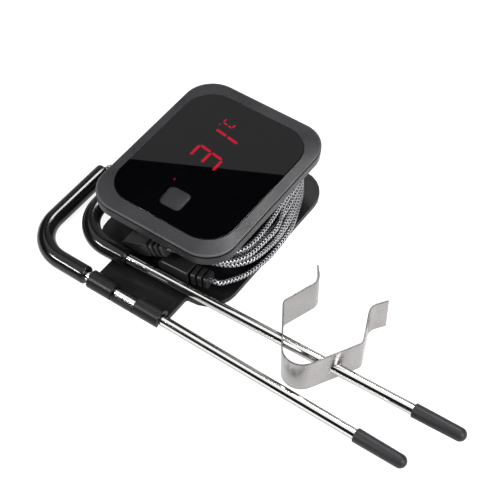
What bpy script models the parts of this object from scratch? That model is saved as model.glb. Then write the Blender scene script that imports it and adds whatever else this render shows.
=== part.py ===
"""Meat thermometer with two corded probes, wound on the spool behind its display.

Metres, +Z up. The origin lies on the rear plate's underside, in front of the
battery cover. X runs along the probes, and Y along the display's long side.
"""

import math

import bmesh
import bpy
import numpy as np
from mathutils import Matrix, Vector

MM = 0.001

# Clearances
GAP = 0.3 * MM
CUT_OVER = 1.0 * MM

# Housing, measured from its own centre on the floor
HOUSING_Y = 27.0 * MM
PLATE_HALF_X = 30.4 * MM
PLATE_HALF_Y = 38.7 * MM
PLATE_CORNER = 12.0 * MM
PLATE_THICKNESS = 2.2 * MM
TAB_HALF_X = 16.8 * MM

CORE_HALF_X = 21.5 * MM
CORE_FRONT = -23.0 * MM
CORE_REAR = 33.6 * MM
CORE_CORNER = 9.0 * MM
CORE_WALL = 1.6 * MM
CORE_TOP = 23.6 * MM
CEILING_THICKNESS = 1.2 * MM
TOP_PLATE_THICKNESS = 1.2 * MM

COVER_HALF_X = 30.4 * MM
COVER_HALF_Y = 38.4 * MM
COVER_CORNER = 12.3 * MM
COVER_BOTTOM = 24.0 * MM
COVER_SHOULDER = 28.9 * MM
COVER_WALL = 2.0 * MM
COVER_CHAMFER = 0.6 * MM
COVER_DRAFT = 0.2 * MM

WINDOW_HALF_X = 26.0 * MM
WINDOW_HALF_Y = 32.2 * MM
WINDOW_CORNER = 12.0 * MM
WINDOW_TOP = 30.0 * MM
WINDOW_THICKNESS = 1.2 * MM
WINDOW_EDGE = 0.2 * MM
LEDGE_WIDTH = 2.5 * MM
LEDGE_THICKNESS = 1.2 * MM

# Button and switch
BUTTON_SIZE = 8.3 * MM
BUTTON_CORNER = 1.5 * MM
BUTTON_Y = -21.5 * MM
BUTTON_PROUD = 0.2 * MM
BUTTON_EDGE = 0.3 * MM
BUTTON_FLANGE = 0.75 * MM
BUTTON_FLANGE_THICKNESS = 0.6 * MM
BOARD_THICKNESS = 1.2 * MM
BOARD_MARGIN = 1.5 * MM
BOARD_CORNER = 8.0 * MM
SWITCH_SIZE = 6.0 * MM
SWITCH_HEIGHT = 0.8 * MM
PLUNGER_DIAMETER = 3.4 * MM
PLUNGER_HEIGHT = 0.7 * MM
DISPLAY_SIZE = (17.0 * MM, 30.5 * MM, 1.7 * MM)
DISPLAY_CENTER = (-3.0 * MM, 9.8 * MM)
RIB_SIZE = (2.2 * MM, 4.0 * MM)
RIB_Y = 10.0 * MM

# Screws
SCREW_HEAD_DIAMETER = 4.0 * MM
SCREW_HEAD_HEIGHT = 0.7 * MM
SCREW_SHANK_DIAMETER = 1.8 * MM
CASE_SCREW_LENGTH = 7.0 * MM
COVER_SCREW_LENGTH = 3.0 * MM
BOSS_DIAMETER = 6.0 * MM
COVER_BOSS_DIAMETER = 5.0 * MM
CASE_SCREW_X = 17.4 * MM
CASE_SCREW_Y = (-13.0 * MM, 22.0 * MM)
COVER_SCREW_X = 22.5 * MM
COVER_SCREW_Y = 31.0 * MM

# Battery bay: two AAA cells
CELL_DIAMETER = 10.5 * MM
CELL_LENGTH = 44.5 * MM
CELL_NUB_DIAMETER = 3.8 * MM
CELL_NUB_LENGTH = 1.0 * MM
CELL_SPACING = 11.0 * MM
CELL_HEADROOM = 0.4 * MM
CELL_SIDES = 20
BAY_FRONT = -17.5 * MM
PARTITION_THICKNESS = 1.2 * MM
CONTACT_THICKNESS = 0.4 * MM
CONTACT_SIZE = 8.0 * MM
SPRING_WIRE = 0.6 * MM
SPRING_TURNS = 2
SPRING_RADII = (3.4 * MM, 2.0 * MM)
DOOR_HALF_X = 12.5 * MM
DOOR_WING = 1.7 * MM
DOOR_WING_THICKNESS = 1.0 * MM
DOOR_FRONT = -17.0 * MM
GRIP_RIB = (16.0 * MM, 0.9 * MM, 0.4 * MM)
GRIP_RIB_PITCH = 2.0 * MM
GRIP_RIB_COUNT = 4

# Jacks and plugs
JACK_SIDE = 8.2 * MM
JACK_X = (JACK_SIDE - CORE_HALF_X, 3.7 * MM)
JACK_Z = 6.4 * MM
JACK_DIAMETER = 5.4 * MM
JACK_BOSS_SIDE = 3.5 * MM
JACK_BOSS_X = (JACK_BOSS_SIDE - CORE_HALF_X, 8.5 * MM)
JACK_BOSS_FRONT = -28.3 * MM
JACK_BOSS_TOP = 10.4 * MM
JACK_END_WALL = 0.8 * MM
PIN_DIAMETER = 2.5 * MM
PIN_GROOVE = 0.2 * MM
PLUG_DEPTH = 6.6 * MM
PLUG_HALF_HEIGHT = 3.0 * MM
PLUG_REACH = 10.9 * MM
PLUG_EDGE = 0.5 * MM
PLUG_ROUND = 0.98
PLUG_ROLL = (math.radians(25.0), math.radians(4.5))
RELIEF_TURN = (0.0, math.radians(8.0))
RELIEF_LENGTH = 7.8 * MM
RELIEF_RIBS = 3
RELIEF_SLOT = 0.9 * MM
RELIEF_CORE = 1.6 * MM
RELIEF_ROOT = 1.5 * MM
RELIEF_HALF_SIZE = (3.1 * MM, 2.9 * MM)
RELIEF_TAPER = 0.15 * MM
RELIEF_CORNER = 1.0 * MM

# Probes: a steel rod bent at a right angle, with a sleeve on the bend
ROD_DIAMETER = 4.0 * MM
ROD_POINT = 6.0 * MM
PROBE_LENGTH = 167.6 * MM
BEND_RADIUS = 15.0 * MM
SLEEVE_DIAMETER = 7.2 * MM
SLEEVE_RUN = 72.8 * MM
SLEEVE_ON_ROD = (28.3 * MM, 25.0 * MM)
SLEEVE_EDGE = 0.4 * MM
CAP_LENGTH = 20.3 * MM
CAP_WALL = 0.4 * MM
CAP_END = 1.2 * MM
CAP_TAPER = 0.15 * MM
PROBE_CORNER = ((-47.0 * MM, -52.85 * MM, 3.7 * MM), (-35.15 * MM, -39.89 * MM, 6.0 * MM))
PROBE_YAW = (math.radians(-0.46), math.radians(1.76))

# Snap clip on the tab, round probe 1
SNAP_HALF_X = 16.4 * MM
SNAP_WALL = 1.3 * MM
SNAP_MIDDLE_HALF_X = 4.8 * MM
SNAP_SLIT = 0.5 * MM
SNAP_OVER = (math.radians(-55.0), math.radians(205.0))
SNAP_UNDER = (math.radians(152.0), math.radians(335.0))
SNAP_TAB_LAP = 2.6 * MM

# Grate clip: a folded steel strip, measured from probe 2's corner
CLIP_CENTER = 104.5 * MM
CLIP_HEIGHT = 15.0 * MM
CLIP_THICKNESS = 0.5 * MM
CLIP_TIP = (14.9 * MM, 30.1 * MM)
CLIP_FOLD = (10.6 * MM, 24.5 * MM)
CLIP_CORNER = (16.6 * MM, 9.2 * MM)
CLIP_APEX_Y = -18.1 * MM
CLIP_FOLD_RADIUS = 1.6 * MM
CLIP_CORNER_RADIUS = 2.4 * MM
CLIP_NOSE_RADIUS = 7.0 * MM

# Cables: one layer of eight turns on the core, four turns of each cable
CABLE_DIAMETER = 2.1 * MM
CABLE_LEVELS = 4
LEVEL_PITCH = 2.6 * MM
WINDING_OFFSET = 1.4 * MM
CROSSING_OFFSET = 2.7 * MM
CROSSING_PITCH = 2.0 * MM
BULGE_RIGHT = (8.7 * MM, 1.0 * MM)
BULGE_RIGHT_Y = -5.0 * MM
BULGE_RIGHT_SPAN = 34.0 * MM
BULGE_LEFT = 2.0 * MM
CLIMB_START = 4.0 * MM
STAGGER_START = 18.0 * MM
CORNER_STATIONS = 4
CABLE_SAMPLE = 0.5 * MM
SELF_DIAMETERS = 8
CABLE_SKIP = ((6, 7), (6, 10))
CABLE_START = (
    ((10.5, -32.2, 17.4), (17.5, -31.6, 18.5), (24.8, -28.2, 17.6), (29.9, -19.7, 15.6), (31.0, -9.5, 14.8),
     (30.6, 0.5, 14.2)),
    ((26.4, -28.4, 7.0), (29.9, -19.5, 5.0), (31.4, -9.0, 3.8), (31.4, 0.5, 3.6)),
)
CABLE_END = (
    ((-25.4, 20.0, 21.75), (-28.2, 13.0, 19.5), (-30.9, 6.5, 14.0), (-31.4, 3.6, 8.5), (-31.7, 1.4, 4.6),
     (-33.0, -0.6, 1.9), (-36.5, -2.2, 1.2), (-40.3, -3.2, 1.15), (-43.6, -3.5, 1.8), (-45.9, -4.2, 3.0)),
    ((-21.0, 35.2, 11.1), (-28.5, 30.5, 9.6), (-34.0, 22.5, 7.4), (-36.4, 15.0, 6.2)),
)

# Facets
CORNER_STEPS = 6
ARC_STEP = math.radians(15.0)
ROUND_SIDES = 16
ROD_SIDES = 12

UP = Vector((0, 0, 1))


def outline(corners, closed=True):
    """Points of a polygon whose corners (x, y, radius) are rounded by arcs."""
    points = []
    count = len(corners)
    for i, (x, y, radius) in enumerate(corners):
        here = Vector((x, y))
        if radius <= 0 or (not closed and i in (0, count - 1)):
            points.append(here)
            continue
        before = (Vector(corners[i - 1][:2]) - here).normalized()
        after = (Vector(corners[(i + 1) % count][:2]) - here).normalized()
        half = before.angle(after) / 2
        middle = here + (before + after).normalized() * radius / math.sin(half)
        turn = math.pi - 2 * half
        steps = max(2, CORNER_STEPS if closed else round(turn / ARC_STEP))
        start = here + before * radius / math.tan(half) - middle
        sign = 1 if before.cross(after) < 0 else -1
        for k in range(steps + 1):
            angle = sign * turn * k / steps
            spoke = Vector((start.x * math.cos(angle) - start.y * math.sin(angle),
                            start.x * math.sin(angle) + start.y * math.cos(angle)))
            points.append(middle + spoke)
    return points


def rounded_box(half_x, half_y, radius, center=(0.0, 0.0)):
    """Outline of a rectangle with round corners, counter-clockwise."""
    x, y = center
    return outline([(x - half_x, y - half_y, radius), (x + half_x, y - half_y, radius),
                    (x + half_x, y + half_y, radius), (x - half_x, y + half_y, radius)])


def circle(radius, sides=ROUND_SIDES, center=(0.0, 0.0)):
    """Outline of a circle, counter-clockwise."""
    steps = [math.tau * k / sides for k in range(sides)]
    return [Vector((center[0] + radius * math.cos(a), center[1] + radius * math.sin(a))) for a in steps]


def at_height(points, z):
    """A flat outline as a ring at height z."""
    return [Vector((p[0], p[1], z)) for p in points]


def loft(rings, closed=False):
    """A bmesh skin over rings of equal count. One-point rings are poles, and open ends are capped."""
    bm = bmesh.new()
    loops = [[bm.verts.new(p) for p in ring] for ring in rings]
    pairs = list(zip(loops, loops[1:]))
    if closed:
        pairs.append((loops[-1], loops[0]))
    for low, high in pairs:
        count = max(len(low), len(high))
        for i in range(count):
            after = (i + 1) % len(low)
            corners = [low[i % len(low)], low[after], high[(i + 1) % len(high)], high[i % len(high)]]
            bm.faces.new(list(dict.fromkeys(corners)))
    if not closed:
        for end in (loops[0], loops[-1]):
            if len(end) > 2:
                bm.faces.new(end)
    bmesh.ops.recalc_face_normals(bm, faces=bm.faces)
    return bm


def prism(points, low, high):
    """A flat outline extruded from one height to another."""
    return loft([at_height(points, low), at_height(points, high)])


def turned(profile, sides=ROUND_SIDES, closed=False):
    """A profile of (radius, height) points turned about Z. A zero radius is a pole."""
    rings = [[Vector((0, 0, h))] if r == 0 else at_height(circle(r, sides), h) for r, h in profile]
    return loft(rings, closed)


def swept(path, radii, sides, closed_with=None):
    """A round section carried along a flat path. With closed_with, a bore of those radii runs back."""
    rings = []
    for run in (radii, closed_with):
        if run is None:
            continue
        ring_set = []
        for i, here in enumerate(path):
            ahead = path[min(i + 1, len(path) - 1)]
            behind = path[max(i - 1, 0)]
            along = (ahead - behind).normalized()
            across = Vector((along.y, -along.x, 0))
            ring_set.append([here.to_3d() + across * run[i] * math.cos(a) + UP * run[i] * math.sin(a)
                             for a in (math.tau * k / sides for k in range(sides))])
        rings.append(ring_set)
    if closed_with is None:
        return loft(rings[0])
    return loft(rings[0] + rings[1][::-1], closed=True)


def merged(parts):
    """Several closed shapes, apart from each other, in one bmesh."""
    bm = bmesh.new()
    for part in parts:
        mesh = bpy.data.meshes.new("part")
        part.to_mesh(mesh)
        part.free()
        bm.from_mesh(mesh)
        bpy.data.meshes.remove(mesh)
    return bm


def moved(bm, offset, matrix=None):
    """A bmesh turned by a matrix and then shifted."""
    if matrix is not None:
        bmesh.ops.transform(bm, matrix=matrix, verts=bm.verts)
    bmesh.ops.translate(bm, vec=Vector(offset), verts=bm.verts)
    return bm


def axis_turn(axis):
    """The rotation that carries +Z to the given axis."""
    return Vector((0, 0, 1)).rotation_difference(Vector(axis)).to_matrix().to_4x4()


def finish(name, color, roughness, metallic=0.0):
    """A Principled material from an sRGB hex colour."""
    made = bpy.data.materials.get(name)
    if made:
        return made
    made = bpy.data.materials.new(name)
    made.use_nodes = True
    shader = made.node_tree.nodes["Principled BSDF"]
    parts = [int(color[i:i + 2], 16) / 255 for i in (1, 3, 5)]
    linear = [c / 12.92 if c <= 0.04045 else ((c + 0.055) / 1.055) ** 2.4 for c in parts]
    shader.inputs["Base Color"].default_value = (*linear, 1.0)
    shader.inputs["Roughness"].default_value = roughness
    shader.inputs["Metallic"].default_value = metallic
    made.diffuse_color = (*linear, 1.0)
    return made


def empty(name, location, rotation=(0.0, 0.0, 0.0), parent=None):
    """An empty that places the pieces under it."""
    made = bpy.data.objects.new(name, None)
    made.location = location
    made.rotation_euler = rotation
    made.parent = parent
    bpy.context.scene.collection.objects.link(made)
    return made


def solid(name, bm, look, parent, location=(0.0, 0.0, 0.0), rotation=(0.0, 0.0, 0.0)):
    """One named sub-part from a bmesh."""
    mesh = bpy.data.meshes.new(name)
    bm.to_mesh(mesh)
    bm.free()
    mesh.shade_smooth()
    mesh.set_sharp_from_angle(angle=math.radians(35))
    if look:
        mesh.materials.append(look)
    made = bpy.data.objects.new(name, mesh)
    made.parent = parent
    made.location = location
    made.rotation_euler = rotation
    bpy.context.scene.collection.objects.link(made)
    return made


def boolean(target, tool_bm, operation):
    """Joins a hidden helper shape to the target, or cuts it away."""
    tool = solid(f"{target.name}_{operation.lower()}_{len(target.modifiers)}", tool_bm, None, target)
    tool.hide_render = True
    tool.display_type = "WIRE"
    step = target.modifiers.new(operation.lower(), "BOOLEAN")
    step.operation = operation
    step.solver = "EXACT"
    step.object = tool


def box(low, high):
    """A box between two corners."""
    (x0, y0, z0), (x1, y1, z1) = low, high
    return prism([Vector((x0, y0)), Vector((x1, y0)), Vector((x1, y1)), Vector((x0, y1))], z0, z1)


def cylinder(diameter, low, high, center, sides=ROUND_SIDES):
    """An upright cylinder."""
    return prism(circle(diameter / 2, sides, center), low, high)


# Heights that follow from the sizes above
CASE_BOTTOM = PLATE_THICKNESS + GAP
CELL_Z = CASE_BOTTOM + CELL_DIAMETER / 2
BAY_TOP = CELL_Z + CELL_DIAMETER / 2 + CELL_HEADROOM
CASE_TOP = CORE_TOP + TOP_PLATE_THICKNESS
BOARD_BOTTOM = CASE_TOP + GAP
BOARD_TOP = BOARD_BOTTOM + BOARD_THICKNESS
WINDOW_BOTTOM = WINDOW_TOP - WINDOW_THICKNESS
LEDGE_TOP = WINDOW_BOTTOM - GAP
LEDGE_BOTTOM = LEDGE_TOP - LEDGE_THICKNESS
BEZEL_TOP = WINDOW_TOP - WINDOW_EDGE
CORE_CENTER = (0.0, (CORE_FRONT + CORE_REAR) / 2)
CORE_HALF_Y = (CORE_REAR - CORE_FRONT) / 2
BAY_REAR = CORE_REAR - CORE_WALL
PLUG_FACE = JACK_BOSS_FRONT - GAP
SNAP_BORE = ROD_DIAMETER / 2 + GAP
SNAP_OUTER = SNAP_BORE + SNAP_WALL
SNAP_Y = PROBE_CORNER[0][1] - PROBE_CORNER[0][0] * math.tan(PROBE_YAW[0])
SNAP_Z = PROBE_CORNER[0][2]
HANDLE_LENGTH = [SLEEVE_RUN - on_rod for on_rod in SLEEVE_ON_ROD]
SCREW_HOLE = SCREW_SHANK_DIAMETER + 2 * GAP
COVER_HOLES = [(x, y) for x in (-COVER_SCREW_X, COVER_SCREW_X) for y in (-COVER_SCREW_Y, COVER_SCREW_Y)]
CASE_HOLES = [(x, y) for x in (-CASE_SCREW_X, CASE_SCREW_X) for y in CASE_SCREW_Y]
LEVEL_START = PLATE_THICKNESS + GAP + CABLE_DIAMETER / 2
CROSSING_START = JACK_BOSS_TOP + GAP + CABLE_DIAMETER / 2


def arc_band(inner, outer, start, end, low, high):
    """A bent strip round the X axis, between two angles and two places along X."""
    steps = max(3, round((end - start) / ARC_STEP))
    angles = [start + (end - start) * k / steps for k in range(steps + 1)]
    profile = [(outer * math.cos(a), outer * math.sin(a)) for a in angles]
    profile += [(inner * math.cos(a), inner * math.sin(a)) for a in reversed(angles)]
    return loft([[Vector((x, y, z)) for y, z in profile] for x in (low, high)])


def make_rear_plate(housing):
    """Flange with its tab and snap clip: two outer fingers over the rod and a middle one under it."""
    tab_end = SNAP_Y + SNAP_TAB_LAP
    shape = outline([
        (-PLATE_HALF_X, -PLATE_HALF_Y, PLATE_CORNER), (-TAB_HALF_X, -PLATE_HALF_Y, PLATE_THICKNESS / 2),
        (-TAB_HALF_X, tab_end, 0), (TAB_HALF_X, tab_end, 0),
        (TAB_HALF_X, -PLATE_HALF_Y, PLATE_THICKNESS / 2), (PLATE_HALF_X, -PLATE_HALF_Y, PLATE_CORNER),
        (PLATE_HALF_X, PLATE_HALF_Y, PLATE_CORNER), (-PLATE_HALF_X, PLATE_HALF_Y, PLATE_CORNER)])
    plate = solid("rear_plate", prism(shape, 0, PLATE_THICKNESS),
                  finish("matt black ABS", "#1c1c1e", 0.6), housing)
    fingers = []
    split = SNAP_MIDDLE_HALF_X + SNAP_SLIT
    for low, high in ((-SNAP_HALF_X, -split), (split, SNAP_HALF_X)):
        fingers.append(arc_band(SNAP_BORE, SNAP_OUTER, *SNAP_OVER, low, high))
    fingers.append(arc_band(SNAP_BORE, SNAP_OUTER, *SNAP_UNDER, -SNAP_MIDDLE_HALF_X, SNAP_MIDDLE_HALF_X))
    boolean(plate, moved(merged(fingers), (0, SNAP_Y, SNAP_Z)), "UNION")
    beyond = PLATE_HALF_Y + CUT_OVER
    wing = DOOR_HALF_X + DOOR_WING + GAP
    slot = DOOR_HALF_X + GAP
    lip = PLATE_THICKNESS - DOOR_WING_THICKNESS - GAP
    below = -CUT_OVER
    above = PLATE_THICKNESS + CUT_OVER
    section = [(-slot, below), (slot, below), (slot, lip), (wing, lip), (wing, above),
               (-wing, above), (-wing, lip), (-slot, lip)]
    notch = loft([[Vector((x, y, z)) for x, z in section] for y in (DOOR_FRONT - GAP, beyond)])
    boolean(plate, notch, "DIFFERENCE")
    bore = SCREW_HEAD_DIAMETER + 2 * GAP
    seat = SCREW_HEAD_HEIGHT + 2 * GAP
    holes = [loft([at_height(circle(bore / 2, center=c), below), at_height(circle(bore / 2, center=c), seat),
                   at_height(circle(SCREW_HOLE / 2, center=c), seat),
                   at_height(circle(SCREW_HOLE / 2, center=c), above)]) for c in CASE_HOLES]
    boolean(plate, merged(holes), "DIFFERENCE")


def make_rear_case(housing):
    """Spool core with a battery bay below its ceiling, an open well above it and a closing plate on top."""
    inner_x = CORE_HALF_X - CORE_WALL
    inner_y = CORE_HALF_Y - CORE_WALL
    inner = rounded_box(inner_x, inner_y, CORE_CORNER - CORE_WALL, CORE_CENTER)
    core = rounded_box(CORE_HALF_X, CORE_HALF_Y, CORE_CORNER, CORE_CENTER)
    inset = COVER_WALL + GAP
    top = rounded_box(COVER_HALF_X - inset, COVER_HALF_Y - inset, COVER_CORNER - inset)
    rings = [(inner, BAY_TOP), (inner, CASE_BOTTOM), (core, CASE_BOTTOM), (core, CORE_TOP), (top, CORE_TOP),
             (top, CASE_TOP), (inner, CASE_TOP), (inner, BAY_TOP + CEILING_THICKNESS)]
    plastic = finish("black ABS", "#222224", 0.55)
    case = solid("rear_case", loft([at_height(*r) for r in rings]), plastic, housing)
    lap = CORE_WALL / 2
    into = BAY_TOP + CEILING_THICKNESS / 2
    boss = rounded_box((JACK_BOSS_X[1] - JACK_BOSS_X[0]) / 2, (CORE_FRONT + lap - JACK_BOSS_FRONT) / 2, lap,
                       (sum(JACK_BOSS_X) / 2, (CORE_FRONT + lap + JACK_BOSS_FRONT) / 2))
    wall = box((-inner_x - lap, BAY_FRONT - PARTITION_THICKNESS, CASE_BOTTOM + GAP),
               (inner_x + lap, BAY_FRONT, into))
    added = [prism(boss, CASE_BOTTOM + GAP, JACK_BOSS_TOP), wall]
    added += [cylinder(BOSS_DIAMETER, CASE_BOTTOM + GAP, into, c) for c in CASE_HOLES]
    boolean(case, merged(added), "UNION")
    screw_end = CASE_SCREW_LENGTH + 2 * GAP
    cuts = [cylinder(SCREW_HOLE, CASE_BOTTOM - CUT_OVER, screw_end, c) for c in CASE_HOLES]
    jack = JACK_DIAMETER / 2 + GAP
    jack_depth = CORE_FRONT - JACK_BOSS_FRONT + CORE_WALL + 2 * CUT_OVER
    cuts += [moved(turned([(jack, 0), (jack, jack_depth)]), (x, JACK_BOSS_FRONT - CUT_OVER, JACK_Z),
                   axis_turn((0, 1, 0))) for x in JACK_X]
    head = SCREW_HEAD_DIAMETER + 2 * GAP
    for c in COVER_HOLES:
        seat = CORE_TOP + SCREW_HEAD_HEIGHT
        cuts.append(loft([at_height(circle(head / 2, center=c), CORE_TOP - CUT_OVER),
                          at_height(circle(head / 2, center=c), seat),
                          at_height(circle(SCREW_HOLE / 2, center=c), seat),
                          at_height(circle(SCREW_HOLE / 2, center=c), CASE_TOP + CUT_OVER)]))
    boolean(case, merged(cuts), "DIFFERENCE")


def make_front_cover(housing):
    """Shell with a drafted skirt, a bright edge and a bezel that rises to the window."""
    def ring(inset, z):
        return at_height(rounded_box(COVER_HALF_X - inset, COVER_HALF_Y - inset, COVER_CORNER - inset), z)

    def window_ring(grow, z):
        return at_height(rounded_box(WINDOW_HALF_X + grow, WINDOW_HALF_Y + grow, WINDOW_CORNER + grow), z)

    rings = [ring(COVER_DRAFT, COVER_BOTTOM), ring(0, COVER_SHOULDER - COVER_CHAMFER),
             ring(COVER_CHAMFER * 0.3, COVER_SHOULDER - COVER_CHAMFER * 0.3),
             ring(COVER_CHAMFER, COVER_SHOULDER),
             window_ring(GAP, BEZEL_TOP), window_ring(GAP, LEDGE_TOP), window_ring(-LEDGE_WIDTH, LEDGE_TOP),
             window_ring(-LEDGE_WIDTH, LEDGE_BOTTOM), ring(COVER_WALL, LEDGE_BOTTOM),
             ring(COVER_WALL, COVER_BOTTOM)]
    cover = solid("front_cover", loft(rings, closed=True), finish("charcoal ABS", "#4a494d", 0.45), housing)
    into = LEDGE_BOTTOM + LEDGE_THICKNESS / 2
    added = [cylinder(COVER_BOSS_DIAMETER, BOARD_BOTTOM, into, c) for c in COVER_HOLES]
    rib_x = WINDOW_HALF_X - LEDGE_WIDTH + RIB_SIZE[0]
    for x in (-rib_x, rib_x):
        for y in (-RIB_Y, RIB_Y):
            low = (x - RIB_SIZE[0] / 2, y - RIB_SIZE[1] / 2, BOARD_TOP + GAP)
            added.append(box(low, (low[0] + RIB_SIZE[0], low[1] + RIB_SIZE[1], into)))
    boolean(cover, merged(added), "UNION")
    depth = CORE_TOP + COVER_SCREW_LENGTH + GAP
    holes = [cylinder(SCREW_HOLE, COVER_BOTTOM, depth, c) for c in COVER_HOLES]
    boolean(cover, merged(holes), "DIFFERENCE")


def make_window(housing):
    """Black pane with a square hole for the button."""
    rings = [rounded_box(WINDOW_HALF_X - e, WINDOW_HALF_Y - e, WINDOW_CORNER - e)
             for e in (0, 0, WINDOW_EDGE)]
    heights = (WINDOW_BOTTOM, WINDOW_TOP - WINDOW_EDGE, WINDOW_TOP)
    pane = solid("display_window", loft([at_height(r, z) for r, z in zip(rings, heights)]),
                 finish("black gloss PMMA", "#0a0a0b", 0.05), housing)
    half = BUTTON_SIZE / 2 + GAP
    hole = rounded_box(half, half, BUTTON_CORNER + GAP, (0, BUTTON_Y))
    boolean(pane, prism(hole, WINDOW_BOTTOM - CUT_OVER, WINDOW_TOP + CUT_OVER), "DIFFERENCE")


def make_button(housing):
    """Button with a retaining flange, and the switch that it presses."""
    half = BUTTON_SIZE / 2
    wide = half + BUTTON_FLANGE
    flange_top = WINDOW_BOTTOM - GAP
    flange_low = flange_top - BUTTON_FLANGE_THICKNESS
    top = WINDOW_TOP + BUTTON_PROUD
    edge = BUTTON_EDGE
    rings = [(wide, BUTTON_CORNER, flange_low), (wide, BUTTON_CORNER, flange_top),
             (half, BUTTON_CORNER, flange_top),
             (half, BUTTON_CORNER, top - edge), (half - edge, BUTTON_CORNER - edge, top)]
    solid("power_button", loft([at_height(rounded_box(h, h, r), z) for h, r, z in rings]),
          finish("dark grey silicone", "#3f3e42", 0.5), housing, (0, BUTTON_Y, 0))
    plunger_top = flange_low - GAP
    solid("switch_plunger", cylinder(PLUNGER_DIAMETER, plunger_top - PLUNGER_HEIGHT, plunger_top, (0, 0)),
          finish("switch black nylon", "#151515", 0.5), housing, (0, BUTTON_Y, 0))
    side = SWITCH_SIZE / 2
    square = [Vector((math.copysign(side, p.x) if abs(p.x) >= abs(p.y) else side * p.x / abs(p.y),
                      math.copysign(side, p.y) if abs(p.y) >= abs(p.x) else side * p.y / abs(p.x)))
              for p in circle(1.0)]
    hole = circle(PLUNGER_DIAMETER / 2 + GAP)
    low = BOARD_TOP + GAP
    high = low + SWITCH_HEIGHT
    rings = [at_height(hole, low), at_height(square, low), at_height(square, high), at_height(hole, high)]
    solid("switch_body", loft(rings, closed=True), finish("switch steel", "#9a9a9c", 0.35, 1.0), housing,
          (0, BUTTON_Y, 0))


def make_board(housing):
    """Circuit board with corner notches for the cover's bosses, and the LED display on it."""
    half_x = COVER_HALF_X - COVER_WALL - BOARD_MARGIN
    half_y = COVER_HALF_Y - COVER_WALL - BOARD_MARGIN
    board = solid("circuit_board", prism(rounded_box(half_x, half_y, BOARD_CORNER), BOARD_BOTTOM, BOARD_TOP),
                  finish("green solder mask", "#1d4a2c", 0.4), housing)
    notch = COVER_BOSS_DIAMETER + 2 * GAP
    cuts = [cylinder(notch, BOARD_BOTTOM - CUT_OVER, BOARD_TOP + CUT_OVER, c) for c in COVER_HOLES]
    boolean(board, merged(cuts), "DIFFERENCE")
    x, y = DISPLAY_CENTER
    width, length, height = DISPLAY_SIZE
    low = (x - width / 2, y - length / 2, BOARD_TOP + GAP)
    solid("led_display", box(low, (low[0] + width, low[1] + length, low[2] + height)),
          finish("black epoxy", "#101011", 0.4), housing)


def make_screws(housing):
    """Case screws from below and cover screws from the winding groove, all with their heads down."""
    look = finish("zinc plated steel", "#b4b4b0", 0.35, 1.0)
    head = SCREW_HEAD_DIAMETER / 2
    shank = SCREW_SHANK_DIAMETER / 2

    def screw(name, place, low, length):
        profile = [(0, 0), (head, 0), (head, SCREW_HEAD_HEIGHT), (shank, SCREW_HEAD_HEIGHT),
                   (shank, length - shank), (0, length)]
        solid(name, turned(profile, ROD_SIDES), look, housing, (*place, low))

    for i, place in enumerate(CASE_HOLES):
        screw(f"case_screw_{i + 1}", place, GAP, CASE_SCREW_LENGTH)
    for i, place in enumerate(COVER_HOLES):
        screw(f"cover_screw_{i + 1}", place, CORE_TOP - GAP, COVER_SCREW_LENGTH)


def make_batteries(housing):
    """Two AAA cells side by side, head to tail, with a bridge, two end contacts and two springs."""
    steel = finish("nickel plated steel", "#c0beb8", 0.3, 1.0)
    body = CELL_DIAMETER / 2
    nub = CELL_NUB_DIAMETER / 2
    shoulder = CELL_LENGTH - CELL_NUB_LENGTH
    profile = [(0, 0), (body - GAP, 0), (body, GAP), (body, shoulder - GAP),
               (body - GAP, shoulder), (nub, shoulder),
               (nub, CELL_LENGTH), (0, CELL_LENGTH)]
    bridge = BAY_FRONT + GAP + CONTACT_THICKNESS
    contact = BAY_REAR - GAP - CONTACT_THICKNESS
    half = CONTACT_SIZE / 2
    for i, sign in enumerate((-1, 1)):
        x = sign * CELL_SPACING / 2
        base = contact - GAP - CELL_LENGTH if sign < 0 else bridge + GAP + CELL_LENGTH
        toward = (0, -sign, 0)
        solid(f"battery_cell_{i + 1}", moved(turned(profile, CELL_SIDES), (0, 0, 0), axis_turn(toward)),
              finish("printed cell wrap", "#2f5d8a", 0.35), housing, (x, base, CELL_Z))
        leaf = box((x - half, contact, CELL_Z - half), (x + half, contact + CONTACT_THICKNESS, CELL_Z + half))
        solid(f"battery_contact_{i + 1}", leaf, steel, housing)
        free = base + sign * GAP
        far = bridge + GAP if sign < 0 else contact - GAP
        make_spring(f"battery_spring_{i + 1}", (x, CELL_Z), far, free, steel, housing)
    solid("battery_bridge", box((-CELL_SPACING / 2 - half, bridge - CONTACT_THICKNESS, CELL_Z - half),
                                (CELL_SPACING / 2 + half, bridge, CELL_Z + half)), steel, housing)


def make_spring(name, place, wide_end, narrow_end, look, housing):
    """A conical contact spring along Y, from its wide end at the contact to its narrow end at the cell."""
    steps = 10
    turns = SPRING_TURNS * steps
    toward = math.copysign(SPRING_WIRE / 2, narrow_end - wide_end)
    first = wide_end + toward
    last = narrow_end - toward
    points = []
    for k in range(turns + 1):
        share = k / turns
        radius = SPRING_RADII[0] + (SPRING_RADII[1] - SPRING_RADII[0]) * share
        angle = math.tau * k / steps
        points.append((place[0] + radius * math.cos(angle), first + (last - first) * share,
                       place[1] + radius * math.sin(angle)))
    tube(name, points, SPRING_WIRE, look, housing)


def tube(name, points, diameter, look, parent):
    """A six-sided tube with filled ends along a list of points."""
    data = bpy.data.curves.new(name, "CURVE")
    data.dimensions = "3D"
    data.bevel_depth = diameter / 2
    data.bevel_resolution = 1
    data.use_fill_caps = True
    line = data.splines.new("POLY")
    line.points.add(len(points) - 1)
    line.points.foreach_set("co", np.column_stack([points, np.ones(len(points))]).ravel())
    data.materials.append(look)
    made = bpy.data.objects.new(name, data)
    made.parent = parent
    bpy.context.scene.collection.objects.link(made)


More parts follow.
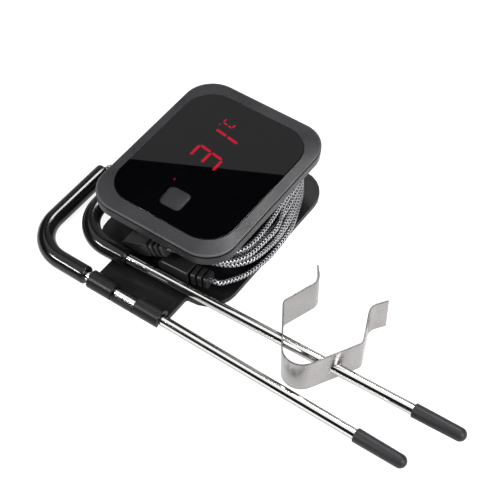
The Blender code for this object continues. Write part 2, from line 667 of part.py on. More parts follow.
def make_battery_cover(housing):
    """Sliding cover with wings that run over the rear plate's lips, and grip ribs at its end."""
    wing = DOOR_HALF_X + DOOR_WING
    step = PLATE_THICKNESS - DOOR_WING_THICKNESS
    section = [(-DOOR_HALF_X, 0), (DOOR_HALF_X, 0), (DOOR_HALF_X, step),
               (wing, step), (wing, PLATE_THICKNESS),
               (-wing, PLATE_THICKNESS), (-wing, step), (-DOOR_HALF_X, step)]
    body = loft([[Vector((x, y, z)) for x, z in section] for y in (DOOR_FRONT, PLATE_HALF_Y)])
    door = solid("battery_cover", body, finish("matt black ABS", "#1c1c1e", 0.6), housing)
    width, depth, sink = GRIP_RIB
    grooves = []
    for k in range(GRIP_RIB_COUNT):
        y = PLATE_HALF_Y - (k + 1) * GRIP_RIB_PITCH
        grooves.append(box((-width / 2, y - depth, -CUT_OVER), (width / 2, y, sink)))
    boolean(door, merged(grooves), "DIFFERENCE")


def make_jacks(housing):
    """Two round jacks through the core's front boss, each with a bore for a plug's pin."""
    length = BAY_FRONT - PARTITION_THICKNESS - GAP - JACK_BOSS_FRONT
    outer = JACK_DIAMETER / 2
    bore = PIN_DIAMETER / 2 + GAP
    profile = [(0, length - JACK_END_WALL), (bore, length - JACK_END_WALL), (bore, 0),
               (outer, 0), (outer, length),
               (0, length)]
    for i, x in enumerate(JACK_X):
        solid(f"probe_jack_{i + 1}", moved(turned(profile), (0, 0, 0), axis_turn((0, 1, 0))),
              finish("jack black nylon", "#18181a", 0.45), housing, (x, JACK_BOSS_FRONT, JACK_Z))


def relief_rings():
    """Sections of a strain relief along X, from inside the plug: plates of falling size on a core."""
    def ring(x, half_y, half_z, radius):
        return [Vector((x, p.x, p.y)) for p in rounded_box(half_y, half_z, radius)]

    core = (RELIEF_CORE, RELIEF_CORE, RELIEF_CORNER)
    pitch = RELIEF_LENGTH / RELIEF_RIBS
    rings = [ring(-RELIEF_ROOT, *core)]
    for k in range(RELIEF_RIBS):
        plate = (*(half - k * RELIEF_TAPER for half in RELIEF_HALF_SIZE), RELIEF_CORNER)
        start = k * pitch + RELIEF_SLOT
        end = (k + 1) * pitch
        rings += [ring(start, *core), ring(start, *plate), ring(end, *plate)]
        if k < RELIEF_RIBS - 1:
            rings.append(ring(end, *core))
    return rings


def make_plugs(housing):
    """Right-angle plugs: a body with a round end about the pin, a ribbed relief and a steel pin."""
    rubber = finish("black PVC", "#1a1a1b", 0.55)
    steel = finish("nickel plated steel", "#c0beb8", 0.3, 1.0)
    high = PLUG_HALF_HEIGHT
    end = high * PLUG_ROUND
    shape = outline([(-high, -high, end), (PLUG_REACH, -high, PLUG_EDGE), (PLUG_REACH, high, PLUG_EDGE),
                     (-high, high, end)])
    inset = outline([(-high + PLUG_EDGE, -high + PLUG_EDGE, (high - PLUG_EDGE) * PLUG_ROUND),
                     (PLUG_REACH - PLUG_EDGE, -high + PLUG_EDGE, PLUG_EDGE / 2),
                     (PLUG_REACH - PLUG_EDGE, high - PLUG_EDGE, PLUG_EDGE / 2),
                     (-high + PLUG_EDGE, high - PLUG_EDGE, (high - PLUG_EDGE) * PLUG_ROUND)])
    for i, x in enumerate(JACK_X):
        rings = [(shape, 0), (shape, -PLUG_DEPTH + PLUG_EDGE), (inset, -PLUG_DEPTH)]
        body = loft([[Vector((p.x, y, p.y)) for p in ring] for ring, y in rings])
        place = (x, PLUG_FACE, JACK_Z)
        roll = (0, -PLUG_ROLL[i], 0)
        plug = solid(f"plug_{i + 1}", body, rubber, housing, place, roll)
        turn = Matrix.Rotation(RELIEF_TURN[i], 4, "Z")
        relief = moved(loft(relief_rings()), (PLUG_REACH, -PLUG_DEPTH / 2, 0), turn)
        boolean(plug, relief, "UNION")
        bore_end = BAY_FRONT - PARTITION_THICKNESS - GAP - JACK_END_WALL
        length = bore_end - GAP - JACK_BOSS_FRONT
        pin = PIN_DIAMETER / 2
        ring = length / 3
        profile = [(0, 0), (pin, 0), (pin, ring), (pin - PIN_GROOVE, ring), (pin - PIN_GROOVE, ring + GAP),
                   (pin, ring + GAP), (pin, length - pin), (pin / 2, length), (0, length)]
        pin_shape = moved(turned(profile, ROD_SIDES), (0, 0, 0), axis_turn((0, 1, 0)))
        solid(f"plug_pin_{i + 1}", pin_shape, steel, housing, (x, JACK_BOSS_FRONT, JACK_Z))


def probe_path(start, end, inset=0.0):
    """The bent centre line in a probe's own frame: down the handle along Y, round the bend, out along X."""
    bend = outline([(0, start, 0), (0, 0, BEND_RADIUS), (end, 0, 0)], closed=False)
    first = Vector((0, start - inset))
    last = Vector((end - inset, 0))
    return [bend[0], first] + bend[1:-1] + [last, bend[-1]] if inset else bend


def make_probe(index, housing):
    """A probe about its own corner: rod, sleeve and tip cap."""
    number = index + 1
    handle = HANDLE_LENGTH[index]
    corner = empty(f"probe_{number}_axis", PROBE_CORNER[index], (0, 0, PROBE_YAW[index]), housing)
    rod = ROD_DIAMETER / 2
    bore = rod + GAP
    tip = PROBE_LENGTH - CAP_END - GAP
    path = probe_path(handle - GAP, tip - ROD_POINT) + [Vector((tip, 0))]
    radii = [rod] * (len(path) - 1) + [rod * 0.12]
    steel = finish("polished steel", "#c9c9c7", 0.12, 1.0)
    solid(f"probe_rod_{number}", swept(path, radii, ROD_SIDES), steel, corner)
    path = probe_path(handle, SLEEVE_ON_ROD[index], SLEEVE_EDGE)
    outer = SLEEVE_DIAMETER / 2
    radii = [outer - SLEEVE_EDGE] + [outer] * (len(path) - 2) + [outer - SLEEVE_EDGE]
    sleeve = swept(path, radii, ROUND_SIDES, [bore] * len(path))
    solid(f"probe_sleeve_{number}", sleeve, finish("gloss black silicone", "#0e0e0f", 0.2), corner)
    wall = bore + CAP_WALL
    end = wall - CAP_TAPER
    dome = end * 0.75
    profile = [(0, CAP_LENGTH - CAP_END), (bore, CAP_LENGTH - CAP_END - bore * 0.8), (bore, 0), (wall, 0),
               (end, CAP_LENGTH - dome), (end * 0.87, CAP_LENGTH - dome * 0.5),
               (end * 0.5, CAP_LENGTH - dome * 0.13), (0, CAP_LENGTH)]
    cap = moved(turned(profile), (0, 0, 0), axis_turn((1, 0, 0)))
    solid(f"tip_cap_{number}", cap, finish("dark grey silicone cap", "#3a3a3c", 0.45), corner,
          (PROBE_LENGTH - CAP_LENGTH, 0, 0))
    return corner


def make_grate_clip(corner):
    """A folded strip: a round nose, two walls with rod holes, shoulders, drawn-in arms and flared tips."""
    half = [(*CLIP_TIP, 0), (*CLIP_FOLD, CLIP_FOLD_RADIUS), (*CLIP_CORNER, CLIP_CORNER_RADIUS)]
    corners = [(-x, y, r) for x, y, r in half] + [(0, CLIP_APEX_Y, CLIP_NOSE_RADIUS)] + half[::-1]
    line = outline(corners, closed=False)
    sides = []
    for sign in (1, -1):
        side = []
        for i, here in enumerate(line):
            along = (line[min(i + 1, len(line) - 1)] - line[max(i - 1, 0)]).normalized()
            side.append(here + Vector((-along.y, along.x)) * sign * CLIP_THICKNESS / 2)
        sides.append(side)
    low = -PROBE_CORNER[1][2]
    strip = prism(sides[0] + sides[1][::-1], low, low + CLIP_HEIGHT)
    steel = finish("satin steel", "#b3aea6", 0.32, 1.0)
    clip = solid("grate_clip", strip, steel, corner, (CLIP_CENTER, 0, 0))
    reach = CLIP_CORNER[0] + CLIP_THICKNESS
    hole = moved(turned([(ROD_DIAMETER / 2 + GAP, -reach), (ROD_DIAMETER / 2 + GAP, reach)]), (0, 0, 0),
                 axis_turn((1, 0, 0)))
    boolean(clip, hole, "DIFFERENCE")


def smooth_step(value):
    """0 below 0, 1 above 1 and a smooth rise between."""
    t = min(max(value, 0.0), 1.0)
    return t * t * (3 - 2 * t)


def core_stations():
    """One turn round the core from its front right corner: (base point, outward normal)."""
    centers = [(CORE_HALF_X - CORE_CORNER, CORE_FRONT + CORE_CORNER), (CORE_HALF_X - CORE_CORNER,
               CORE_REAR - CORE_CORNER), (-CORE_HALF_X + CORE_CORNER, CORE_REAR - CORE_CORNER),
               (-CORE_HALF_X + CORE_CORNER, CORE_FRONT + CORE_CORNER)]
    on_sides = (4, 1, 3, 0)
    stations = []
    for i, center in enumerate(centers):
        start = (i - 1) * math.pi / 2
        for k in range(CORNER_STATIONS):
            angle = start + math.pi / 2 * (k + 0.5) / CORNER_STATIONS
            normal = Vector((math.cos(angle), math.sin(angle)))
            stations.append((Vector(center) + normal * CORE_CORNER, normal))
        normal = Vector((math.cos(start + math.pi / 2), math.sin(start + math.pi / 2)))
        first = Vector(center) + normal * CORE_CORNER
        last = Vector(centers[(i + 1) % 4]) + normal * CORE_CORNER
        for k in range(on_sides[i]):
            stations.append((first.lerp(last, (k + 0.5) / on_sides[i]), normal))
    return stations


def winding(first_level, skip_start, skip_end):
    """Points of one cable's turns. The sides lie level, and each turn climbs and crosses at the front.

    z = (1 - w) level + w crossing, with w rising from 0 on the sides to 1 at the front.
    """
    core_mid = CORE_CENTER[1]
    points = []
    stations = core_stations()
    for turn in range(CABLE_LEVELS):
        level = first_level + turn
        for k, (base, normal) in enumerate(stations):
            leaving = k > len(stations) / 2
            crossing = level - first_level + (0 if leaving else -1)
            crossing += (CABLE_LEVELS - 1) * (first_level // CABLE_LEVELS)
            side_z = LEVEL_START + LEVEL_PITCH * level
            front_z = CROSSING_START + CROSSING_PITCH * crossing
            climb = smooth_step((CLIMB_START - base.y) / (CLIMB_START - CORE_FRONT))
            stagger = smooth_step((STAGGER_START - base.y) / (STAGGER_START - CORE_FRONT - CORE_CORNER))
            along = max(0.0, 1 - ((base.y - core_mid) / CORE_HALF_Y) ** 2)
            swell = max(0.0, 1 - ((base.y - BULGE_RIGHT_Y) / BULGE_RIGHT_SPAN) ** 2)
            bulge = (BULGE_RIGHT[0] - BULGE_RIGHT[1] * level) * max(0.0, normal.x) * swell
            bulge += BULGE_LEFT * max(0.0, -normal.x) * along
            out = WINDING_OFFSET + bulge + CROSSING_OFFSET * stagger * (crossing % 2)
            place = base + normal * out
            points.append((place.x, place.y, side_z + (front_z - side_z) * climb))
    return points[skip_start:len(points) - skip_end]


def smooth_route(points, steps):
    """Catmull-Rom points through a route."""
    p = np.array(points)
    p = np.vstack([2 * p[0] - p[1], p, 2 * p[-1] - p[-2]])
    made = []
    for a, b, c, d in zip(p, p[1:], p[2:], p[3:]):
        for k in range(steps):
            t = k / steps
            made.append(0.5 * (2 * b + (c - a) * t + (2 * a - 5 * b + 4 * c - d) * t ** 2
                               + (3 * b - a - 3 * c + d) * t ** 3))
    return made + [p[-2]]


def least_gap(points):
    """Least clear distance of a tube to itself, on points over SELF_DIAMETERS apart along it."""
    p = np.array(points)
    lengths = np.linalg.norm(np.diff(p, axis=0), axis=1)
    place = np.concatenate([[0], np.cumsum(lengths)])
    at = np.arange(0, place[-1], CABLE_SAMPLE)
    dense = np.column_stack([np.interp(at, place, p[:, i]) for i in range(3)])
    apart = np.linalg.norm(dense[:, None] - dense[None], axis=2)
    apart[np.abs(at[:, None] - at[None]) < SELF_DIAMETERS * CABLE_DIAMETER] = np.inf
    return apart.min() - CABLE_DIAMETER, place[-1]


def make_cable(index, start, start_along, end, end_along, housing):
    """One braided cable from its plug, round the core and into its probe's sleeve."""
    number = index + 1
    first_level = CABLE_LEVELS * (1 - index)
    turns = winding(first_level, *CABLE_SKIP[index])
    begin = [start + start_along * GAP, start + start_along * (GAP + CABLE_DIAMETER)]
    stop = [end + end_along * (GAP + CABLE_DIAMETER), end + end_along * GAP]
    lead = [tuple(p) for p in begin] + [tuple(c * MM for c in p) for p in CABLE_START[index]]
    tail = [tuple(c * MM for c in p) for p in CABLE_END[index]] + [tuple(p) for p in stop]
    head = smooth_route(lead[1:] + turns[:2], 2)[:-2]
    foot = smooth_route(turns[-2:] + tail[:-1], 2)[2:]
    points = [lead[0]] + head + turns[1:-1] + foot + [tail[-1]]
    gap, length = least_gap(points)
    name = f"cable_{number}_winding"
    print(f"{name}: least gap {gap / MM:.2f} mm, length {length:.3f} m, {len(points)} points")
    tube(name, points, CABLE_DIAMETER, finish("steel braid", "#8d8d8c", 0.35, 0.9), housing)


def relief_end(index):
    """Where a plug's strain relief ends, and which way it points, in the housing's frame."""
    turn = RELIEF_TURN[index]
    roll = PLUG_ROLL[index]
    along = Vector((math.cos(turn) * math.cos(roll), math.sin(turn), math.cos(turn) * math.sin(roll)))
    base = Vector((JACK_X[index] + PLUG_REACH * math.cos(roll), PLUG_FACE - PLUG_DEPTH / 2,
                   JACK_Z + PLUG_REACH * math.sin(roll)))
    return base + along * RELIEF_LENGTH, along


def main():
    for old in list(bpy.data.objects):
        bpy.data.objects.remove(old)
    housing = empty("housing_center", (0, HOUSING_Y, 0))
    make_rear_plate(housing)
    make_rear_case(housing)
    make_front_cover(housing)
    make_window(housing)
    make_button(housing)
    make_board(housing)
    make_screws(housing)
    make_batteries(housing)
    make_battery_cover(housing)
    make_jacks(housing)
    make_plugs(housing)
    corners = [make_probe(i, housing) for i in range(2)]
    make_grate_clip(corners[1])
    bpy.context.view_layer.update()
    for i, corner in enumerate(corners):
        frame = housing.matrix_world.inverted() @ corner.matrix_world
        end = frame @ Vector((0, HANDLE_LENGTH[i], 0))
        along = frame.to_3x3() @ Vector((0, 1, 0))
        make_cable(i, *relief_end(i), end, along, housing)


main()
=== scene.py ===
"""Finished surfaces for a corded meat thermometer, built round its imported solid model."""

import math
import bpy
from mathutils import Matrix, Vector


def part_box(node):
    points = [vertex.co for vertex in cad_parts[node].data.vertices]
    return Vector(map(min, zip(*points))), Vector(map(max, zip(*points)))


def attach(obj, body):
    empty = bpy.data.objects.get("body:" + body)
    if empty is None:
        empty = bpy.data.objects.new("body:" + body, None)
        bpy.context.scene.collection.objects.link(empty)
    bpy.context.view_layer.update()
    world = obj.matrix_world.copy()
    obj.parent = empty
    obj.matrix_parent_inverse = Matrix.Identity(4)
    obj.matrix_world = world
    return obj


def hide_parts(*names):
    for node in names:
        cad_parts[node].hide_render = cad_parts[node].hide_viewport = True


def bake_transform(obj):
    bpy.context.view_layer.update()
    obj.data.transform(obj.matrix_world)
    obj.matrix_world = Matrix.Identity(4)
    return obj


bl_info = {
    "name": "Corded Meat Thermometer",
    "version": (1, 0, 0),
    "blender": (4, 5, 0),
    "location": "View3D > Sidebar > Thermometer",
    "description": "Dresses the solid model of a meat thermometer with shells, braided cables and a stage",
    "category": "Add Mesh",
}

from contextlib import contextmanager
from math import pi, radians, tau

import bmesh
import bpy
import numpy as np
from bpy.props import FloatProperty, FloatVectorProperty, PointerProperty
from bpy.types import Node, NodeSocket, Operator, Panel, PropertyGroup, Scene
from mathutils import Matrix, Vector

MM = 0.001

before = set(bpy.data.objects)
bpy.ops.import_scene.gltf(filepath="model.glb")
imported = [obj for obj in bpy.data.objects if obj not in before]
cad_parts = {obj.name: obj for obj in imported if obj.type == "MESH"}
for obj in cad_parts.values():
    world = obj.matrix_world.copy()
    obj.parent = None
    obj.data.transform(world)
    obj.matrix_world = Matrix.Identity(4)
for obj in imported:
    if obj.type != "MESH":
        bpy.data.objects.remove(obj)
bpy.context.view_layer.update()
COVER_LOW, COVER_HIGH = (np.array(v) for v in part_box("front_cover"))
WINDOW_LOW, WINDOW_HIGH = (np.array(v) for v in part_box("display_window"))
BUTTON_LOW, BUTTON_HIGH = (np.array(v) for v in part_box("power_button"))
HOUSING = np.array(((COVER_LOW[0] + COVER_HIGH[0]) / 2, (COVER_LOW[1] + COVER_HIGH[1]) / 2, 0.0))
BUTTON_SHIFT = (BUTTON_LOW + BUTTON_HIGH)[1] / 2 - HOUSING[1]
CLEARANCE = 0.3 * MM
UP = np.array([[0.0, 0.0, 1.0]])

# Facets of the finished surfaces
CORNER_STEPS = 20
EDGE_STEPS = 5
BUTTON_CROWN_ROWS = 7
ROD_ROWS = (33, 9)
SLEEVE_ROWS = (12, 41, 8)
TUBE_SIDES = 40
CABLE_SIDES = 18
CABLE_STEP = 0.3 * MM
SPLINE_STEPS = 12
SMOOTH_ANGLE = radians(38)
FLAT_ANGLE = radians(1)
FILLET_ANGLE = radians(6)
# Rows that hold a flat: how far in, at most what share of the flat, and the shortest flat that gets them
HOLD = 0.15 * MM
HOLD_SHARE = 0.3
HOLD_FROM = 4 * HOLD
# Points closer than this are one point: in a grid, and after a cut or a bevel
MERGE = 1e-7
CUT_MERGE = 1e-6
# Size of the patches in a moulded finish and in the lit segments
PATCH = 14 * MM
GLOW_PATCH = 2.5 * MM

# Front cover, window and button
COVER_BOTTOM_ROUND = 0.3 * MM
COVER_DRAFT = 0.2 * MM
COVER_EDGE = 0.25 * MM
COVER_SHOULDER = 28.9 * MM
# A fine groove in the wall, as (inset, drop) from the shoulder
COVER_GROOVE = np.array(((0.0, 1.05), (0.3, 0.95), (0.3, 0.6), (0.0, 0.4))) * MM
# How far below the shoulder the painted highlight along the upper edge lies
COVER_HIGHLIGHT_DROP = 0.06 * MM
COVER_WALL = 2.0 * MM
BEZEL_TOP = 29.8 * MM
BEZEL_LIP = 0.15 * MM
LEDGE_TOP = 28.5 * MM
LEDGE_LOW = 27.3 * MM
LEDGE_WIDTH = 2.5 * MM
WINDOW_EDGE = 0.06 * MM
WINDOW_GROWTH = 0.2 * MM
BUTTON_SIDE = 9.1 * MM
BUTTON_CORNER = 1.8 * MM
BUTTON_EDGE = 0.3 * MM
BUTTON_CORNER_LOSS = 0.6
BUTTON_CROWN = 0.1 * MM
BUTTON_FLANGE_HEIGHT = 0.6 * MM
BUTTON_HOLE_GAP = 0.12 * MM

# Digits: text runs along +Y, and its top points to -X
DIGIT_HEIGHT = 11.6 * MM
DIGIT_WIDTH = 6.5 * MM
DIGIT_STROKE = 1.15 * MM
DIGIT_SPLIT = 0.12 * MM
DIGIT_SPLIT_SHARE = 0.12
DIGIT_SLANT = 0.15
DIGIT_PITCH = 10.1 * MM
DIGIT_BASE = (2.9 * MM, -2.6 * MM)
UNIT_HEIGHT = 4.6 * MM
UNIT_WIDTH = 2.3 * MM
UNIT_STROKE = 0.7 * MM
UNIT_BASE = (-3.8 * MM, 19.5 * MM)
DEGREE_PLACE = (-9.0 * MM, 18.6 * MM)
DEGREE_SIZE = UNIT_STROKE * 1.3
MARK_PLACE = (-6.1 * MM, -13.9 * MM)
MARK_SIZE = 0.9 * MM
LIGHT_LIFT = (0.004 * MM, 0.02 * MM)
BAR_CORNERS = 6
SEGMENTS = {
    "a": ((0, 1), (1, 1)), "b": ((1, 1), (1, 0.5)), "c": ((1, 0.5), (1, 0)), "d": ((0, 0), (1, 0)),
    "e": ((0, 0), (0, 0.5)), "f": ((0, 0.5), (0, 1)), "g": ((0, 0.5), (1, 0.5)),
}

# Plugs
JACK_X = (-13.3 * MM, 3.7 * MM)
JACK_Z = 6.4 * MM
PLUG_FACE = -28.6 * MM
PLUG_DEPTH = 6.6 * MM
PLUG_HALF_HEIGHT = 3.0 * MM
PLUG_REACH = 10.9 * MM
PLUG_EDGE = 0.6 * MM
PLUG_CORNER_LOSS = 0.7
PLUG_ROUND = 0.98
PLUG_ROLL = (radians(25.0), radians(4.5))
RELIEF_TURN = (0.0, radians(8.0))
RELIEF_LENGTH = 7.8 * MM
RELIEF_RIBS = 3
RELIEF_SLOT = 0.9 * MM
RELIEF_CORE = 1.6 * MM
RELIEF_ROOT = 1.5 * MM
RELIEF_HALF_SIZE = np.array((3.1, 2.9)) * MM
RELIEF_TAPER = 0.15 * MM
RELIEF_CORNER = 1.0 * MM
RELIEF_EDGE = 0.2 * MM

# Probes, each about the corner of its bend
PROBE_CORNER = np.array(((-47.0, -52.85, 3.7), (-35.15, -39.89, 6.0))) * MM
PROBE_YAW = (radians(-0.46), radians(1.76))
PROBE_LENGTH = 167.6 * MM
ROD_RADIUS = 2.0 * MM
ROD_POINT = 6.0 * MM
ROD_BLUNT = 0.6 * MM
ROD_TIP_RADIUS = 0.3 * MM
ROD_END_SHARE = 0.3
# A dark tint on the steel's reflection at glancing angles: painted shade along the rod's edges
EDGE_SHADE_TINT = "#454548"
BEND_RADIUS = 15.0 * MM
BEND_RUN = BEND_RADIUS * pi / 2
SLEEVE_RUN = 72.8 * MM
SLEEVE_ON_ROD = (28.3 * MM, 25.0 * MM)
SLEEVE_RADIUS = 3.6 * MM
SLEEVE_ROUND = 0.8 * MM
SLEEVE_GAP = 0.8 * CLEARANCE
SNUG = 0.05 * MM
ROD_BORE = ROD_RADIUS + SNUG
CAP_LENGTH = 20.3 * MM
CAP_END = 1.2 * MM
CAP_BORE_END = 0.3 * MM
ROD_TIP = PROBE_LENGTH - CAP_END - CLEARANCE
CAP_RADII = (2.7 * MM, 2.55 * MM)
CAP_ROUND = 0.25 * MM

# Grate clip, about the rod of probe 2
CLIP_CENTER = 104.5 * MM
CLIP_HALF_HEIGHT = 7.5 * MM
CLIP_HALF_THICKNESS = 0.25 * MM
CLIP_EDGE = 0.1 * MM
CLIP_TIP = (14.9 * MM, 30.1 * MM)
CLIP_FOLD = (10.6 * MM, 24.5 * MM, 5.0 * MM)
CLIP_CORNER = (16.6 * MM, 9.2 * MM, 3.0 * MM)
CLIP_NOSE = (0.0, -18.1 * MM, 7.0 * MM)
CLIP_STEP = 0.7 * MM
CLIP_HOLE_REACH = CLIP_CORNER[0] + 4 * CLIP_HALF_THICKNESS

# Cables: one layer of eight turns on the spool core, four turns of each cable
CORE_HALF_X = 21.5 * MM
CORE_FRONT = -23.0 * MM
CORE_REAR = 33.6 * MM
CORE_CORNER = 9.0 * MM
CORNER_STATIONS = 4
SIDE_STATIONS = (4, 1, 3, 0)
CABLE_RADIUS = 1.05 * MM
CABLE_BORE = CABLE_RADIUS + SNUG
CABLE_LEAD = CLEARANCE + 2 * CABLE_RADIUS
CABLE_TURNS = 4
LEVEL_START = 3.55 * MM
LEVEL_PITCH = 2.6 * MM
WINDING_OFFSET = 1.4 * MM
CROSSING_START = 11.75 * MM
CROSSING_OFFSET = 2.7 * MM
CROSSING_PITCH = 2.0 * MM
BULGE_RIGHT = (8.7 * MM, 1.0 * MM)
BULGE_RIGHT_Y = -5.0 * MM
BULGE_RIGHT_SPAN = 34.0 * MM
BULGE_LEFT = 2.0 * MM
CLIMB_START = 4.0 * MM
STAGGER_START = 18.0 * MM
CABLE_SKIP = ((6, 7), (6, 10))
CABLE_START = (
    ((10.5, -32.2, 17.4), (17.5, -31.6, 18.5), (24.8, -28.2, 17.6), (29.9, -19.7, 15.6), (31.0, -9.5, 14.8),
     (30.6, 0.5, 14.2)),
    ((26.4, -28.4, 7.0), (29.9, -19.5, 5.0), (31.4, -9.0, 3.8), (31.4, 0.5, 3.6)),
)
CABLE_END = (
    ((-25.4, 20.0, 21.75), (-28.2, 13.0, 19.5), (-30.9, 6.5, 14.0), (-31.4, 3.6, 8.5), (-31.7, 1.4, 4.6),
     (-33.0, -0.6, 1.9), (-36.5, -2.2, 1.2), (-40.3, -3.2, 1.15), (-43.6, -3.5, 1.8), (-45.9, -4.2, 3.0)),
    ((-21.0, 35.2, 11.1), (-28.5, 30.5, 9.6), (-34.0, 22.5, 7.4), (-36.4, 15.0, 6.2)),
)
BRAID_LAY = 1.5 * MM
BRAID_STRANDS = 3
BRAID_RELIEF = 0.07

# Fittings: finish, colour, roughness, grain and depth in mm, spread, metallic and how its nodes' names start
FITTINGS = (
    # Zinc on steel: a soft grey mirror with a faint grain
    ("zinc plated steel", "#b4b4b0", 0.35, 0.3, 0.004, 0.15, 1.0, ("case_screw", "cover_screw")),
    # Printed film on a cell: smooth, with a clear highlight
    ("plain blue cell wrap", "#2f5d8a", 0.3, 1.5, 0.01, 0.12, 0.0, ("battery_cell",)),
    # Nickel on steel: warmer and sharper than zinc
    ("nickel plated steel", "#c0beb8", 0.28, 0.3, 0.003, 0.1, 1.0, ("battery_", "plug_pin", "switch_body")),
    # Moulded nylon: black and dull, with a broad sheen
    ("black nylon, moulded", "#161618", 0.45, 0.3, 0.01, 0.12, 0.0, ("switch_plunger", "probe_jack")),
    # Solder mask: a green lacquer, half glossy
    ("green solder mask", "#1d4a2c", 0.35, 0.6, 0.01, 0.12, 0.0, ("circuit_board",)),
    # Cast epoxy: black, half glossy and even
    ("black epoxy", "#101011", 0.35, 0.5, 0.008, 0.12, 0.0, ("led_display",)),
)

# Stage: the floor lies a hair below the feet, so that no two faces share a plane
FLOOR_Z = -0.02 * MM
FLOOR_CORNERS = ((-2.0, -2.0, FLOOR_Z), (2.0, -2.0, FLOOR_Z), (2.0, 2.0, FLOOR_Z), (-2.0, 2.0, FLOOR_Z))
CARD_CORNERS = ((-0.5862, 0.2264, 0.02), (-0.0264, 0.6194, 0.02), (-0.0264, 0.6194, 0.6287),
                (-0.5862, 0.2264, 0.5222))
ROOM_TONE = (0.012, 0.012, 0.013, 1.0)
CAMERA_LENS = 100.09
CAMERA_SENSOR = 36.0
CAMERA_NEAR = 0.01
CAMERA_PLACE = (0.215218, -0.253677, 0.412093)
CAMERA_TURN = (radians(39.1985), 0.0, radians(35.0607))
# Lamps: name, the setting with its power, size, place and aim
LAMPS = (
    ("overhead softbox", "overhead", (2.4, 1.1), (-0.1, -0.1, 1.15), (-0.1, -0.1, 0.0)),
    ("side softbox", "side", (0.5, 0.7), (0.85, -0.1, 0.5), (0.0, 0.02, 0.02)),
    ("rim softbox", "rim", (0.45, 0.22), (-0.1, 0.64, 1.15), (-0.05, 0.0, 0.0)),
    ("front strip", "strip", (0.3, 0.1), (-0.56, -0.64, 0.63), (-0.03, -0.02, 0.0)),
)


def linear(hex_colour):
    """An sRGB hex colour as linear red, green and blue."""
    parts = [int(hex_colour[i:i + 2], 16) / 255 for i in (1, 3, 5)]
    return tuple(c / 12.92 if c <= 0.04045 else ((c + 0.055) / 1.055) ** 2.4 for c in parts)


def length(name, description, default):
    """A length that the sidebar shows in the scene's units."""
    return FloatProperty(name=name, description=description, default=default, min=0.0, unit="LENGTH",
                         precision=5)


def colour(name, description, hex_colour):
    """A colour that the sidebar shows as a swatch."""
    return FloatVectorProperty(name=name, description=description, default=linear(hex_colour), min=0.0,
                               max=1.0, size=3, subtype="COLOR")


def watts(name, description, default):
    """A lamp's power."""
    return FloatProperty(name=name, description=description, default=default, min=0.0, subtype="POWER")


class ThermoSizes(PropertyGroup):
    """Sizes of the finished surfaces."""
    cover_corner: length("Cover corner", "Corner radius of the front cover", 12.3 * MM)
    window_corner: length("Window corner", "Corner radius of the display window", 12.0 * MM)
    bevel: length("Moulded edge", "Edge rounding of the rear shells", 0.25 * MM)


class ThermoColours(PropertyGroup):
    """Colours of the finishes."""
    cover: colour("Front cover", "Charcoal moulding", "#242325")
    window: colour("Window", "Tinted pane", "#020203")
    button: colour("Button", "Soft key", "#1a191b")
    lights: colour("Digits", "Lit segments", "#c4102e")
    shell: colour("Rear shells", "Matt black moulding", "#121213")
    sleeve: colour("Sleeves", "Gloss silicone", "#0c0c0d")
    cap: colour("Tip caps", "Soft silicone", "#1e1e20")
    plug: colour("Plugs", "Soft black moulding", "#161617")
    rod: colour("Rods", "Polished steel", "#d0d0ce")
    clip: colour("Grate clip", "Satin steel", "#a19e9e")
    braid: colour("Braid", "Bright braid wires", "#b6b6ba")
    # Painted shade: the dark tone beside and between the braid's wires
    braid_gap_shade: colour("Braid gaps", "Dark between the wires", "#0c0c0d")


class ThermoStage(PropertyGroup):
    """Light and floor."""
    overhead: watts("Overhead", "Power of the overhead softbox", 12.0)
    side: watts("Side", "Power of the softbox on the right", 12.0)
    rim: watts("Rim", "Power of the narrow softbox above and behind", 11.0)
    strip: watts("Strip", "Power of the small strip in front on the left", 9.0)
    card: FloatProperty(name="Card", description="Brightness of the card behind the window", default=0.391)
    floor: FloatProperty(name="Floor", description="Brightness of the floor's own glow", default=0.88)


def feed(tree, node, inputs):
    """Gives a node's sockets their values or their links. A node stands for its first output."""
    for key, value in inputs.items():
        if isinstance(value, Node):
            value = value.outputs[0]
        if isinstance(value, NodeSocket):
            tree.links.new(value, node.inputs[key])
        else:
            node.inputs[key].default_value = value


def add(tree, kind, inputs, **settings):
    """Adds one node with its settings and inputs."""
    node = tree.nodes.new("ShaderNode" + kind)
    for key, value in settings.items():
        setattr(node, key, value)
    feed(tree, node, inputs)
    return node


def surface(name, base, roughness, metallic=0.0, **sockets):
    """A Principled material, its node tree and its shader. A socket's name has _ for each space."""
    made = bpy.data.materials.new(name)
    made.use_nodes = True
    tree = made.node_tree
    shader = tree.nodes["Principled BSDF"]
    feed(tree, shader, {"Base Color": (*base, 1.0), "Roughness": roughness, "Metallic": metallic})
    feed(tree, shader, {socket.replace("_", " "): value for socket, value in sockets.items()})
    return made, tree, shader


def shade(base, share):
    """A colour made darker or lighter."""
    return (*(min(1.0, c * share) for c in base), 1.0)


